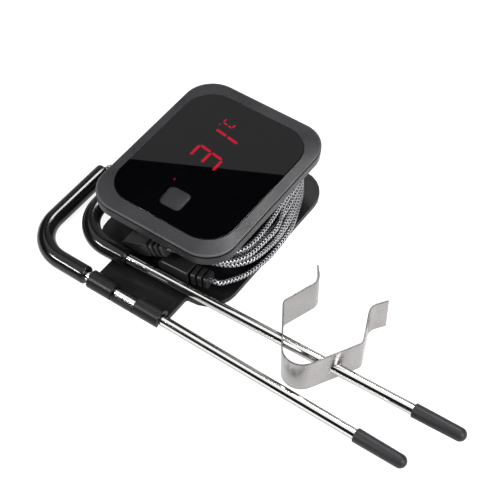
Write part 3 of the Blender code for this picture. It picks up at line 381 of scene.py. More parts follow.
def moulded(name, base, roughness, grain, depth, spread, stretch=(1.0, 1.0, 1.0), metallic=0.0, **sockets):
    """A finish with a fine grain of that size and depth, and broad patches that shift tone and gloss.

    A real grain of about 0.1 mm is too fine to show, so it is drawn as coarse as it needs to show.
    """
    made, tree, shader = surface(name, base, roughness, metallic, **sockets)
    less, more = 1 - spread, 1 + spread
    place = add(tree, "TexCoord", {})
    drawn_out = add(tree, "Mapping", {"Vector": place.outputs["Object"], "Scale": stretch})
    fine = add(tree, "TexNoise", {"Vector": drawn_out, "Scale": 1 / grain, "Detail": 3.0})
    broad = add(tree, "TexNoise", {"Vector": place.outputs["Object"], "Scale": 1 / PATCH, "Detail": 2.0})
    both = add(tree, "Math", {0: fine, 1: broad}, operation="ADD")
    share = add(tree, "MapRange", {"Value": both, "From Min": 0.6, "From Max": 1.4})
    tone = add(tree, "MixRGB", {"Fac": share, "Color1": shade(base, less), "Color2": shade(base, more)})
    gloss = add(tree, "MapRange", {"Value": share, "To Min": roughness * less, "To Max": roughness * more})
    bump = add(tree, "Bump", {"Height": fine, "Distance": depth})
    feed(tree, shader, {"Base Color": tone, "Roughness": gloss, "Normal": bump})
    return made


def painted_light_band(made, height, half, share):
    """A level band of painted highlight (share above 1) or painted shade (share below 1): the tone times
    share, within half of height.
    """
    tree = made.node_tree
    shader = tree.nodes["Principled BSDF"]
    tone = shader.inputs["Base Color"].links[0].from_node
    place = add(tree, "TexCoord", {})
    part = add(tree, "SeparateXYZ", {"Vector": place.outputs["Object"]})
    above = add(tree, "Math", {0: part.outputs["Z"], 1: height}, operation="SUBTRACT")
    apart = add(tree, "Math", {0: above}, operation="ABSOLUTE")
    band = add(tree, "MapRange", {"Value": apart, "From Min": half * 0.6, "From Max": half, "To Min": share})
    mixed = add(tree, "MixRGB", {"Fac": 1.0, "Color1": tone, "Color2": band}, blend_type="MULTIPLY")
    feed(tree, shader, {"Base Color": mixed})


def lit_segments(name, base):
    """Light behind a tinted pane: red glow with a soft unevenness, under the pane's own gloss."""
    made, tree, shader = surface(name, linear("#190000"), roughness=0.03, Emission_Strength=1.0,
                                 Specular_IOR_Level=0.15)
    place = add(tree, "TexCoord", {})
    patch = add(tree, "TexNoise", {"Vector": place.outputs["Object"], "Scale": 1 / GLOW_PATCH, "Detail": 1.0})
    tone = add(tree, "MixRGB", {"Fac": patch, "Color1": shade(base, share=0.72),
                                "Color2": shade(base, share=1.2)})
    feed(tree, shader, {"Emission Color": tone})
    return made


def braided(name, wire, gap_shade):
    """Steel braid: wires that cross in two directions; the tone fades from each wire's crown to dark at its
    sides and between the wires, as painted shade.

    a = sin 2 pi (u / lay + n v) and b = sin 2 pi (u / lay - n v); the higher one is the wire on top.
    The real wires are finer, and are drawn as coarse as they need to show.
    """
    made, tree, shader = surface(name, wire, roughness=0.32, metallic=0.85)
    uv = add(tree, "UVMap", {}, uv_map="length_turn")
    part = add(tree, "SeparateXYZ", {"Vector": uv})
    along = add(tree, "Math", {0: part.outputs["X"], 1: tau * MM / BRAID_LAY}, operation="MULTIPLY")
    round_it = add(tree, "Math", {0: part.outputs["Y"], 1: tau * BRAID_STRANDS}, operation="MULTIPLY")
    waves = []
    for sense in ("ADD", "SUBTRACT"):
        mixed = add(tree, "Math", {0: along, 1: round_it}, operation=sense)
        waves.append(add(tree, "Math", {0: mixed}, operation="SINE"))
    top = add(tree, "Math", {0: waves[0], 1: waves[1]}, operation="MAXIMUM")
    # Painted shade: the tone darkens from each wire's crown towards its sides and the gaps between the wires
    share = add(tree, "MapRange", {"Value": top, "From Min": -0.05, "From Max": 0.85})
    tone = add(tree, "MixRGB", {"Fac": share, "Color1": (*gap_shade, 1.0), "Color2": (*wire, 1.0)})
    gloss = add(tree, "MapRange", {"Value": share, "To Min": 0.6, "To Max": 0.28})
    bump = add(tree, "Bump", {"Height": top, "Distance": 0.12 * MM})
    feed(tree, shader, {"Base Color": tone, "Roughness": gloss, "Normal": bump})
    return made


def unit(vectors):
    """The vectors at length 1."""
    return vectors / np.linalg.norm(vectors, axis=-1, keepdims=True)


def distances(line):
    """How far along a line each of its points lies."""
    return np.r_[0, np.cumsum(np.linalg.norm(np.diff(line, axis=0), axis=1))]


def resampled(line, at):
    """Points at the given distances along a line."""
    place = distances(line)
    return np.column_stack([np.interp(at, place, column) for column in line.T])


def rounded_ring(half_x, half_y, radius, steps=CORNER_STEPS):
    """Rounded rectangles, one row for each set of sizes.

    A point is a corner's centre (+-(a - r), +-(b - r)) plus r (cos t, sin t), with t over its quarter turn.
    """
    half_x, half_y, radius = (np.atleast_1d(np.asarray(v, float))[:, None] for v in (half_x, half_y, radius))
    quarter = np.tile(np.linspace(0, pi / 2, steps + 1), 4)
    turn = np.repeat(np.arange(4), steps + 1) * pi / 2 + quarter
    x = np.repeat([1, -1, -1, 1], steps + 1) * (half_x - radius) + radius * np.cos(turn)
    y = np.repeat([1, 1, -1, -1], steps + 1) * (half_y - radius) + radius * np.sin(turn)
    return np.stack([x, y], axis=-1)


def raised(rows, shift=0.0, steps=CORNER_STEPS):
    """Rounded rectangles about the housing's middle, from rows of half sizes, corner and height."""
    half_x, half_y, radius, height = np.array(rows).T
    flat = rounded_ring(half_x, half_y, radius, steps)
    return np.dstack([flat, np.broadcast_to(height[:, None], flat.shape[:2])]) + HOUSING + (0.0, shift, 0.0)


def edge_arc(radius, steps=EDGE_STEPS):
    """A rounded edge as (inset, drop) pairs, r (1 - cos t) and r (1 - sin t), from the side to the flat."""
    t = np.linspace(0, pi / 2, steps + 1)
    return np.stack([radius * (1 - np.cos(t)), radius * (1 - np.sin(t))], axis=1)


def skin(name, grid, closed=False, caps=True, along=None):
    """Quads between the rows of a (rows, columns, 3) grid whose columns run round.

    With along, the distance of each row, the UV map holds that distance and the share of a turn.
    """
    rows, columns = grid.shape[:2]
    i = np.arange(rows if closed else rows - 1)[:, None]
    j = np.arange(columns)[None]
    ahead = (i + 1) % rows
    beside = (j + 1) % columns
    quads = np.stack([i * columns + j, i * columns + beside, ahead * columns + beside, ahead * columns + j],
                     axis=-1)
    faces = quads.reshape(-1, 4).tolist()
    if caps and not closed:
        faces += [list(range(columns))[::-1], list(range((rows - 1) * columns, rows * columns))]
    mesh = bpy.data.meshes.new(name)
    mesh.from_pydata(grid.reshape(-1, 3), [], faces)
    if along is not None:
        u = np.stack([along[i], along[i], along[ahead], along[ahead]], axis=-1) + np.zeros(quads.shape)
        v = (np.stack([j, j + 1, j + 1, j], axis=-1) / columns) + np.zeros(quads.shape)
        place = np.zeros((len(mesh.loops), 2))
        place[:quads.size] = np.stack([u, v], axis=-1).reshape(-1, 2)
        layer = mesh.uv_layers.new(name="length_turn")
        layer.data.foreach_set("uv", place.ravel())
    return mesh


def held(grid, closed=False):
    """The grid with a row close to each end of a long step, so that smooth shading keeps flats flat."""
    ahead = np.roll(grid, -1, axis=0)
    step = np.linalg.norm(ahead - grid, axis=2, keepdims=True)
    inward = (ahead - grid) * np.minimum(HOLD / np.maximum(step, MERGE), HOLD_SHARE)
    rows = np.stack([grid, grid + inward, ahead - inward], axis=1)
    long_step = step.max(axis=(1, 2)) > HOLD_FROM
    if not closed:
        long_step[-1] = False
    keep = np.column_stack([np.ones(len(grid), bool), long_step, long_step])
    return rows[keep]


def flat_face(name, corners):
    """One face with four corners."""
    mesh = bpy.data.meshes.new(name)
    mesh.from_pydata(corners, [], [(0, 1, 2, 3)])
    return mesh


@contextmanager
def edited(mesh, merge):
    """A mesh open for edits, once its points that lie together are merged."""
    bm = bmesh.new()
    bm.from_mesh(mesh)
    bmesh.ops.remove_doubles(bm, verts=bm.verts, dist=merge)
    yield bm
    bm.to_mesh(mesh)
    bm.free()


def tidied(mesh, merge=MERGE):
    """Merges poles, turns the faces outwards and shades the mesh smooth up to its edges."""
    with edited(mesh, merge) as bm:
        bmesh.ops.recalc_face_normals(bm, faces=bm.faces)
    mesh.shade_smooth()
    mesh.set_sharp_from_angle(angle=SMOOTH_ANGLE)
    return mesh


def placed(name, data):
    """A new object in the scene."""
    made = bpy.data.objects.new(name, data)
    bpy.context.scene.collection.objects.link(made)
    return made


def show(name, mesh, finish, body, nodes=()):
    """One finished piece: it rides on a body and stands for the solid's nodes."""
    mesh.materials.clear()
    mesh.materials.append(finish)
    made = placed(name, mesh)
    if body:
        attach(made, body)
    if nodes:
        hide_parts(*nodes)
    return made


def combined(name, first, second, operation):
    """Two closed meshes joined, or one cut from the other, as one new mesh."""
    objects = [placed(mesh.name, mesh) for mesh in (first, second)]
    step = objects[0].modifiers.new("combine", "BOOLEAN")
    step.operation = operation
    step.solver = "EXACT"
    step.object = objects[1]
    graph = bpy.context.evaluated_depsgraph_get()
    mesh = bpy.data.meshes.new_from_object(objects[0].evaluated_get(graph), depsgraph=graph)
    mesh.name = name
    for made in objects:
        bpy.data.objects.remove(made)
    return tidied(mesh, CUT_MERGE)


def tube(line, side, up, radius, sides=TUBE_SIDES):
    """Rings round a line, p + r (cos t side + sin t up), with one radius to a ring or to a point."""
    t = np.linspace(0, tau, sides, endpoint=False)[None, :, None]
    spokes = np.cos(t) * side[:, None] + np.sin(t) * up[:, None]
    return line[:, None] + radius.reshape(len(line), -1, 1) * spokes


def turned(profile, start):
    """A (radius, height) profile turned about the X axis: (start + h, -r cos t, r sin t)."""
    radius, height = np.asarray(profile, float).T
    line = np.outer(start + height, (1.0, 0.0, 0.0))
    return tube(line, np.array([[0.0, -1.0, 0.0]]), UP, radius)


def rotated(points, axis, angle):
    """Points turned about an axis through the origin."""
    return points @ np.array(Matrix.Rotation(angle, 3, axis)).T


def filleted(corners):
    """A flat outline whose corners (x, y, radius) are rounded by arcs. A radius of 0 leaves a point."""
    points = []
    for i, (x, y, radius) in enumerate(corners):
        here = np.array((x, y))
        if radius == 0:
            points.append(here[None])
            continue
        before = unit(np.array(corners[i - 1][:2]) - here)
        after = unit(np.array(corners[(i + 1) % len(corners)][:2]) - here)
        half = math.acos(before @ after) / 2
        middle = here + unit(before + after) * radius / math.sin(half)
        start = here + before * radius / math.tan(half) - middle
        sign = 1 if before[0] * after[1] - before[1] * after[0] < 0 else -1
        sweep = pi - 2 * half
        t = sign * np.linspace(0, sweep, max(3, round(sweep / FILLET_ANGLE)) + 1)
        points.append(middle + np.stack([start[0] * np.cos(t) - start[1] * np.sin(t),
                                         start[0] * np.sin(t) + start[1] * np.cos(t)], axis=1))
    return np.concatenate(points)


class THERMO_OT_front_cover(Operator):
    """Front cover: a skirt with a fine groove, a rounded shoulder and a bezel that rises to the window"""
    bl_idname = "thermo.front_cover"
    bl_label = "Front cover"

    def execute(self, context):
        sizes, colours = context.scene.thermo_sizes, context.scene.thermo_colours
        half = (COVER_HIGH - COVER_LOW)[:2] / 2
        pane = (WINDOW_HIGH - WINDOW_LOW)[:2] / 2
        low = COVER_LOW[2]
        outside = [(-inset - COVER_DRAFT, low + drop) for inset, drop in edge_arc(COVER_BOTTOM_ROUND)[::-1]]
        outside += [(-inset, COVER_SHOULDER - drop) for inset, drop in (*COVER_GROOVE, *edge_arc(COVER_EDGE))]
        bezel = [(CLEARANCE + inset, BEZEL_TOP - drop) for inset, drop in edge_arc(BEZEL_LIP)[::-1]]
        bezel += [(CLEARANCE, LEDGE_TOP), (-LEDGE_WIDTH, LEDGE_TOP), (-LEDGE_WIDTH, LEDGE_LOW)]
        inside = [(-COVER_WALL, LEDGE_LOW), (-COVER_WALL, low)]
        rings = ((half, sizes.cover_corner, outside), (pane, sizes.window_corner, bezel),
                 (half, sizes.cover_corner, inside))
        rows = [(*(size + grow), corner + grow, z) for size, corner, steps in rings for grow, z in steps]
        grid = held(raised(rows), closed=True)
        # Injection moulded ABS with a fine spark eroded grain: soft, even sheen with a dull highlight. A band
        # of lighter tone along the upper edge is a painted highlight, and a band of darker tone in the groove
        # is painted shade.
        finish = moulded("charcoal ABS, fine moulded grain", colours.cover, roughness=0.32, grain=0.4 * MM,
                         depth=0.05 * MM, spread=0.35, Specular_IOR_Level=0.18)
        painted_light_band(finish, COVER_SHOULDER - COVER_HIGHLIGHT_DROP, half=0.16 * MM, share=2.6)
        painted_light_band(finish, COVER_SHOULDER - COVER_GROOVE[1, 1], half=0.3 * MM, share=0.1)
        show("front_cover_shell", tidied(skin("front_cover_shell", grid, closed=True)), finish, "housing",
             ["front_cover"])
        return {"FINISHED"}


class THERMO_OT_window(Operator):
    """Display window with a square hole for the button"""
    bl_idname = "thermo.window"
    bl_label = "Display window"

    def execute(self, context):
        sizes, colours = context.scene.thermo_sizes, context.scene.thermo_colours
        half = (WINDOW_HIGH - WINDOW_LOW)[:2] / 2 + WINDOW_GROWTH
        corner = sizes.window_corner + WINDOW_GROWTH
        bottom, top = WINDOW_LOW[2], WINDOW_HIGH[2]
        hole = BUTTON_SIDE / 2 + BUTTON_HOLE_GAP
        hole_corner = BUTTON_CORNER + BUTTON_HOLE_GAP
        edge = edge_arc(WINDOW_EDGE)
        outer = [(*half, corner, bottom)]
        outer += [(*(half - inset), corner - inset, top - drop) for inset, drop in edge]
        inner = [(hole + inset, hole + inset, hole_corner + inset, top - drop) for inset, drop in edge[::-1]]
        inner += [(hole, hole, hole_corner, bottom)]
        grid = held(np.concatenate([raised(outer), raised(inner, BUTTON_SHIFT)]), closed=True)
        # Cast PMMA tinted black: a mirror-like face with the slightest haze.
        finish = moulded("black tinted PMMA, polished", colours.window, roughness=0.012, grain=9 * MM,
                         depth=0.0, spread=0.4, IOR=1.49)
        show("display_pane", tidied(skin("display_pane", grid, closed=True)), finish, "housing",
             ["display_window"])
        return {"FINISHED"}


def segment_bars(letters, base, height, width, stroke):
    """Slanted seven-segment bars: their ends in the housing's X and Y, and their strokes."""
    ends = np.array([SEGMENTS[s] for s in letters], float)
    right = ends[..., 0] * width + ends[..., 1] * height * DIGIT_SLANT
    up = ends[..., 1] * height
    bars = np.stack([base[0] - up, base[1] + right], axis=-1)
    inset = unit(bars[:, 1] - bars[:, 0]) * (DIGIT_SPLIT + stroke * DIGIT_SPLIT_SHARE)
    return np.stack([bars[:, 0] + inset, bars[:, 1] - inset], axis=1), np.full(len(bars), stroke)


class THERMO_OT_digits(Operator):
    """Lit digits: bars with pointed ends under the pane's surface"""
    bl_idname = "thermo.digits"
    bl_label = "Lit digits"

    def execute(self, context):
        colours = context.scene.thermo_colours
        next_base = (DIGIT_BASE[0], DIGIT_BASE[1] + DIGIT_PITCH)
        groups = [segment_bars("abgcd", DIGIT_BASE, DIGIT_HEIGHT, DIGIT_WIDTH, DIGIT_STROKE),
                  segment_bars("bc", next_base, DIGIT_HEIGHT, DIGIT_WIDTH, DIGIT_STROKE),
                  segment_bars("adef", UNIT_BASE, UNIT_HEIGHT, UNIT_WIDTH, UNIT_STROKE)]
        dots = [(np.array([[(x - size / 3, y), (x + size / 3, y)]]), np.array([size])) for (x, y), size in
                ((DEGREE_PLACE, DEGREE_SIZE), (MARK_PLACE, MARK_SIZE))]
        bars = np.concatenate([g[0] for g in groups + dots])
        stroke = np.concatenate([g[1] for g in groups + dots])[:, None] / 2
        start, end = bars[:, 0], bars[:, 1]
        way = unit(end - start)
        side = np.stack([-way[:, 1], way[:, 0]], axis=1)
        ring = np.stack([start, start + (way - side) * stroke, end - (way + side) * stroke, end,
                         end + (side - way) * stroke, start + (way + side) * stroke], axis=1)
        layers = [np.dstack([ring, np.full(ring.shape[:2], WINDOW_HIGH[2] + lift)]) for lift in LIGHT_LIFT]
        points = np.stack(layers, axis=1) + HOUSING
        k = np.arange(BAR_CORNERS)[None]
        low = np.arange(len(points))[:, None] * 2 * BAR_CORNERS + k
        high = low + BAR_CORNERS
        beside = (k + 1) % BAR_CORNERS - k
        walls = np.stack([low, low + beside, high + beside, high], axis=-1).reshape(-1, 4)
        faces = walls.tolist() + high.tolist() + low[:, ::-1].tolist()
        mesh = bpy.data.meshes.new("display_digits")
        mesh.from_pydata(points.reshape(-1, 3), [], faces)
        finish = lit_segments("lit red segments", colours.lights)
        show("display_digits", tidied(mesh), finish, "housing")
        return {"FINISHED"}


class THERMO_OT_button(Operator):
    """Power button with a soft crown"""
    bl_idname = "thermo.button"
    bl_label = "Power button"

    def execute(self, context):
        colours = context.scene.thermo_colours
        half = BUTTON_SIDE / 2
        wide = (BUTTON_HIGH - BUTTON_LOW)[0] / 2
        low, top = BUTTON_LOW[2], BUTTON_HIGH[2]
        rim = low + BUTTON_FLANGE_HEIGHT
        rows = [(wide, BUTTON_CORNER, low), (wide, BUTTON_CORNER, rim), (half, BUTTON_CORNER, rim)]
        rows += [(half - inset, BUTTON_CORNER - inset * BUTTON_CORNER_LOSS, top - BUTTON_CROWN - drop)
                 for inset, drop in edge_arc(BUTTON_EDGE)]
        flat_half, flat_corner = half - BUTTON_EDGE, BUTTON_CORNER - BUTTON_EDGE * BUTTON_CORNER_LOSS
        rows += [(flat_half * share, flat_corner * share, top - BUTTON_CROWN * share * share)
                 for share in np.linspace(1, 0, BUTTON_CROWN_ROWS)[1:]]
        grid = raised([(row[0], *row) for row in rows], BUTTON_SHIFT, steps=8)
        mesh = skin("power_key", grid, caps=False)
        with edited(mesh, MERGE) as bm:
            bmesh.ops.holes_fill(bm, edges=[e for e in bm.edges if e.is_boundary])
        # Silicone rubber from a fine-blasted mould: matt with a faint sheen.
        finish = moulded("dark grey silicone, blasted mould", colours.button, roughness=0.42, grain=0.4 * MM,
                         depth=0.03 * MM, spread=0.35, Specular_IOR_Level=0.16)
        show("power_key", tidied(mesh), finish, "power_button", ["power_button"])
        return {"FINISHED"}


class THERMO_OT_rear_shells(Operator):
    """Rear plate with its snap clip, spool core and battery cover, with moulded edges"""
    bl_idname = "thermo.rear_shells"
    bl_label = "Rear shells"

    def execute(self, context):
        sizes, colours = context.scene.thermo_sizes, context.scene.thermo_colours
        # Matt ABS from an eroded mould: deep black with a broad, weak highlight.
        finish = moulded("matt black ABS, eroded mould", colours.shell, roughness=0.36, grain=0.5 * MM,
                         depth=0.02 * MM, spread=0.2, Specular_IOR_Level=0.16)
        for node, body, slot in (("rear_plate", "housing", "matt_black_abs"),
                                 ("rear_case", "housing", "black_abs"),
                                 ("battery_cover", "battery_cover", "matt_black_abs")):
            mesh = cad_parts[node].data.copy()
            mesh.name = node + "_shell"
            with edited(mesh, CUT_MERGE) as bm:
                bmesh.ops.dissolve_limit(bm, angle_limit=FLAT_ANGLE, verts=bm.verts, edges=bm.edges)
            made = show(node + "_shell", tidied(mesh), finish, body, [node])
            step = made.modifiers.new("moulded edge", "BEVEL")
            step.width = sizes.bevel
            step.segments = 3
            step.limit_method = "ANGLE"
            step.angle_limit = SMOOTH_ANGLE
            made.modifiers.new("no empty faces", "WELD").merge_threshold = CUT_MERGE
            made.modifiers.new("flat faces", "WEIGHTED_NORMAL").keep_sharp = True
        return {"FINISHED"}


class THERMO_OT_plugs(Operator):
    """Right-angle plugs with ribbed strain reliefs"""
    bl_idname = "thermo.plugs"
    bl_label = "Plugs"

    def execute(self, context):
        colours = context.scene.thermo_colours
        # Soft PVC moulded over the wires: satin black.
        finish = moulded("black PVC overmould", colours.plug, roughness=0.42, grain=0.5 * MM,
                         depth=0.012 * MM, spread=0.15)
        rows = []
        for inset, drop in np.concatenate([[(0.0, PLUG_DEPTH)], edge_arc(PLUG_EDGE)]):
            end = PLUG_HALF_HEIGHT - inset
            corner = PLUG_EDGE - inset * PLUG_CORNER_LOSS
            shape = filleted([(-end, -end, end * PLUG_ROUND), (PLUG_REACH - inset, -end, corner),
                              (PLUG_REACH - inset, end, corner), (-end, end, end * PLUG_ROUND)])
            rows.append(np.column_stack([shape[:, 0], np.full(len(shape), drop - PLUG_DEPTH), shape[:, 1]]))
        body = held(np.array(rows))
        core = (RELIEF_CORE, RELIEF_CORE, RELIEF_CORNER)
        pitch = RELIEF_LENGTH / RELIEF_RIBS
        edge = edge_arc(RELIEF_EDGE)
        rows = [(-RELIEF_ROOT, *core)]
        for k in range(RELIEF_RIBS):
            plate = RELIEF_HALF_SIZE - k * RELIEF_TAPER
            near, far = k * pitch + RELIEF_SLOT, (k + 1) * pitch
            rows.append((near, *core))
            rows += [(near + drop, *(plate - inset), RELIEF_CORNER - inset) for inset, drop in edge[::-1]]
            rows += [(far - drop, *(plate - inset), RELIEF_CORNER - inset) for inset, drop in edge]
            rows.append((far, *core))
        x, half_y, half_z, radius = np.array(rows[:-1]).T
        flat = rounded_ring(half_y, half_z, radius, steps=6)
        ribs = held(np.dstack([np.broadcast_to(x[:, None], flat.shape[:2]), flat]))
        for index in range(2):
            name = f"plug_{index + 1}_moulding"
            relief = rotated(ribs, "Z", RELIEF_TURN[index]) + (PLUG_REACH, -PLUG_DEPTH / 2, 0.0)
            place = HOUSING + (JACK_X[index], PLUG_FACE, JACK_Z)
            parts = [tidied(skin(name, rotated(grid, "Y", -PLUG_ROLL[index]) + place))
                     for grid in (body, relief)]
            show(name, combined(name, *parts, "UNION"), finish, "housing", [f"plug_{index + 1}"])
        return {"FINISHED"}


def probe_points(points, index):
    """Points from a probe's own frame to the model's frame."""
    return rotated(points, "Z", PROBE_YAW[index]) + PROBE_CORNER[index] + HOUSING


def handle_length(index):
    """From the corner of a probe's bend to the cable end of its sleeve."""
    return SLEEVE_RUN - SLEEVE_ON_ROD[index]


def bent_tube(run, radius, index):
    """Rings along a probe: down the handle, round the bend (R - R cos p, R - R sin p) and along the rod."""
    handle = handle_length(index)
    past = run - (handle - BEND_RADIUS)
    bend = np.clip(past / BEND_RADIUS, 0, pi / 2)
    out = np.maximum(past - BEND_RUN, 0)
    down = np.minimum(run, handle - BEND_RADIUS)
    level = np.zeros(len(run))
    line = np.column_stack([BEND_RADIUS * (1 - np.cos(bend)) + out,
                            handle - down - BEND_RADIUS * np.sin(bend), level])
    return probe_points(tube(line, np.column_stack([np.cos(bend), np.sin(bend), level]), UP, radius), index)


def rod_rings(index):
    """A bent rod with a ground point."""
    straight = handle_length(index) - BEND_RADIUS
    bent = straight + BEND_RUN
    end = bent + ROD_TIP - BEND_RADIUS
    run = np.r_[CLEARANCE, straight, straight + np.linspace(0, BEND_RUN, ROD_ROWS[0])[1:],
                np.linspace(bent, end - ROD_POINT, ROD_ROWS[1])[1:], end - ROD_BLUNT, end]
    radius = np.full(len(run), ROD_RADIUS)
    radius[-2:] = ROD_TIP_RADIUS, ROD_TIP_RADIUS * ROD_END_SHARE
    return bent_tube(run, radius, index)


def sleeve_rings(index):
    """A sleeve with rounded ends, a bore for the rod and a neck for the cable."""
    straight = handle_length(index) - BEND_RADIUS
    bent = straight + BEND_RUN
    last = bent + SLEEVE_ON_ROD[index] - BEND_RADIUS
    ending = edge_arc(SLEEVE_ROUND, steps=6)
    opening, ending = ending[::-1], ending[1:]
    middle = np.r_[np.linspace(SLEEVE_ROUND, straight, SLEEVE_ROWS[0])[1:],
                   straight + np.linspace(0, BEND_RUN, SLEEVE_ROWS[1])[1:],
                   np.linspace(bent, last - SLEEVE_ROUND, SLEEVE_ROWS[2])[1:]]
    run = np.r_[0.0, opening[:, 1], middle, last - ending[:, 1], last, middle[::-1], SLEEVE_GAP, SLEEVE_GAP]
    radius = np.r_[CABLE_BORE, SLEEVE_RADIUS - opening[:, 0], np.full(len(middle), SLEEVE_RADIUS),
                   SLEEVE_RADIUS - ending[:, 0], np.full(len(middle) + 2, ROD_BORE), CABLE_BORE]
    return bent_tube(run, radius, index)


def cap_rings(index):
    """A tip cap with a pointed bore, a rounded mouth, a slight taper and a domed end."""
    mouth = edge_arc(CAP_ROUND)[::-1]
    dome = edge_arc(CAP_RADII[1], steps=10)
    deep = CAP_LENGTH - CAP_END
    profile = np.concatenate([
        [(0.0, deep), (2 * ROD_TIP_RADIUS, deep - CAP_BORE_END), (ROD_BORE, deep - ROD_POINT),
         (ROD_BORE, 0.0)],
        np.column_stack([CAP_RADII[0] - mouth[:, 0], mouth[:, 1]]),
        np.column_stack([CAP_RADII[1] - dome[:, 0], CAP_LENGTH - dome[:, 1]])])
    return probe_points(turned(profile, PROBE_LENGTH - CAP_LENGTH), index)


class THERMO_OT_probes(Operator):
    """Bent steel rods with their sleeves and tip caps"""
    bl_idname = "thermo.probes"
    bl_label = "Probes"

    def execute(self, context):
        colours = context.scene.thermo_colours
        # Ground and polished stainless steel: mirror-like, with faint lines along the rod, and a dark
        # specular tint that paints shade along its edges.
        steel = moulded("polished stainless steel", colours.rod, roughness=0.07, grain=0.3 * MM,
                        depth=0.0003 * MM, spread=0.01, stretch=(0.02, 1.0, 1.0), metallic=1.0,
                        Specular_Tint=(*linear(EDGE_SHADE_TINT), 1.0))
        # Silicone tube from a polished mould: deep black with a sharp highlight.
        gloss = moulded("gloss black silicone", colours.sleeve, roughness=0.15, grain=1.5 * MM,
                        depth=0.003 * MM, spread=0.2, Specular_IOR_Level=0.3)
        # Soft silicone cap: matt dark grey, slightly dusty.
        soft = moulded("dark grey silicone cap", colours.cap, roughness=0.46, grain=0.3 * MM,
                       depth=0.012 * MM, spread=0.15, Specular_IOR_Level=0.25)
        for index, number in enumerate((1, 2)):
            probe, cap = f"probe_{number}", f"tip_cap_{number}"
            show(f"{probe}_steel_rod", tidied(skin("rod", rod_rings(index))), steel, probe,
                 [f"probe_rod_{number}"])
            show(f"{probe}_handle_sleeve", tidied(skin("sleeve", sleeve_rings(index), closed=True)), gloss,
                 probe, [f"probe_sleeve_{number}"])
            show(f"{probe}_tip_cover", tidied(skin("cap", cap_rings(index), caps=False)), soft, cap, [cap])
        return {"FINISHED"}


class THERMO_OT_grate_clip(Operator):
    """Folded spring steel strip with two rod holes"""
    bl_idname = "thermo.grate_clip"
    bl_label = "Grate clip"

    def execute(self, context):
        colours = context.scene.thermo_colours
        half = [(*CLIP_TIP, 0.0), CLIP_FOLD, CLIP_CORNER]
        corners = [(-x, y, r) for x, y, r in half] + [CLIP_NOSE] + half[::-1]
        line = filleted(corners)
        place = distances(line)
        at = np.unique(np.r_[place, np.arange(0, place[-1], CLIP_STEP)])
        line = resampled(line, at)
        way = unit(np.gradient(line, at, axis=0))
        section = rounded_ring(CLIP_HALF_THICKNESS, CLIP_HALF_HEIGHT, CLIP_EDGE, steps=3)[0]
        flat = line[:, None] + np.stack([-way[:, 1], way[:, 0]], axis=1)[:, None] * section[None, :, :1]
        rise = np.broadcast_to(section[None, :, 1] + CLIP_HALF_HEIGHT - PROBE_CORNER[1, 2], flat.shape[:2])
        grid = np.dstack([flat, rise]) + (CLIP_CENTER, 0.0, 0.0)
        strip = tidied(skin("grate_clip_strip", probe_points(grid, 1), along=at))
        hole = ROD_RADIUS + CLEARANCE
        bar = turned([(hole, -CLIP_HOLE_REACH), (hole, CLIP_HOLE_REACH)], CLIP_CENTER)
        mesh = combined("grate_clip_strip", strip, tidied(skin("bar", probe_points(bar, 1))), "DIFFERENCE")
        # Cold rolled stainless strip: satin, with fine rolling lines along it; its top and bottom edges are
        # darkened in tone as painted shade.
        finish = moulded("satin stainless strip, rolled", colours.clip, roughness=0.28, grain=0.22 * MM,
                         depth=0.004 * MM, spread=0.1, stretch=(0.12, 0.12, 1.0), metallic=1.0,
                         Anisotropic=0.65, Anisotropic_Rotation=0.25)
        # Painted shade: darker bands of tone along the top and bottom edges
        for height in (0.0, 2 * CLIP_HALF_HEIGHT):
            painted_light_band(finish, height, half=0.3 * MM, share=0.15)
        show("grate_clip_strip", mesh, finish, "grate_clip", ["grate_clip"])
        return {"FINISHED"}


def core_stations():
    """One turn round the spool core, from its front right corner: base points and outward normals.

    A corner's points are its centre + R n at even angles, and a side's points are even shares of its length.
    """
    inner = CORE_HALF_X - CORE_CORNER
    front, rear = CORE_FRONT + CORE_CORNER, CORE_REAR - CORE_CORNER
    centers = np.array(((inner, front), (inner, rear), (-inner, rear), (-inner, front)))
    base, normal = [], []
    for i, count in enumerate(SIDE_STATIONS):
        angle = (i - 1 + (np.arange(CORNER_STATIONS) + 0.5) / CORNER_STATIONS) * pi / 2
        out = np.column_stack([np.cos(angle), np.sin(angle)])
        side = np.array((math.cos(i * pi / 2), math.sin(i * pi / 2)))
        share = ((np.arange(count) + 0.5) / max(count, 1))[:, None]
        base += [centers[i] + out * CORE_CORNER,
                 centers[i] + side * CORE_CORNER + share * (centers[(i + 1) % 4] - centers[i])]
        normal += [out, np.tile(side, (count, 1))]
    return np.concatenate(base), np.concatenate(normal)


def smooth_rise(value):
    """0 below 0, 1 above 1 and 3 t^2 - 2 t^3 between."""
    t = np.clip(value, 0, 1)
    return t * t * (3 - 2 * t)


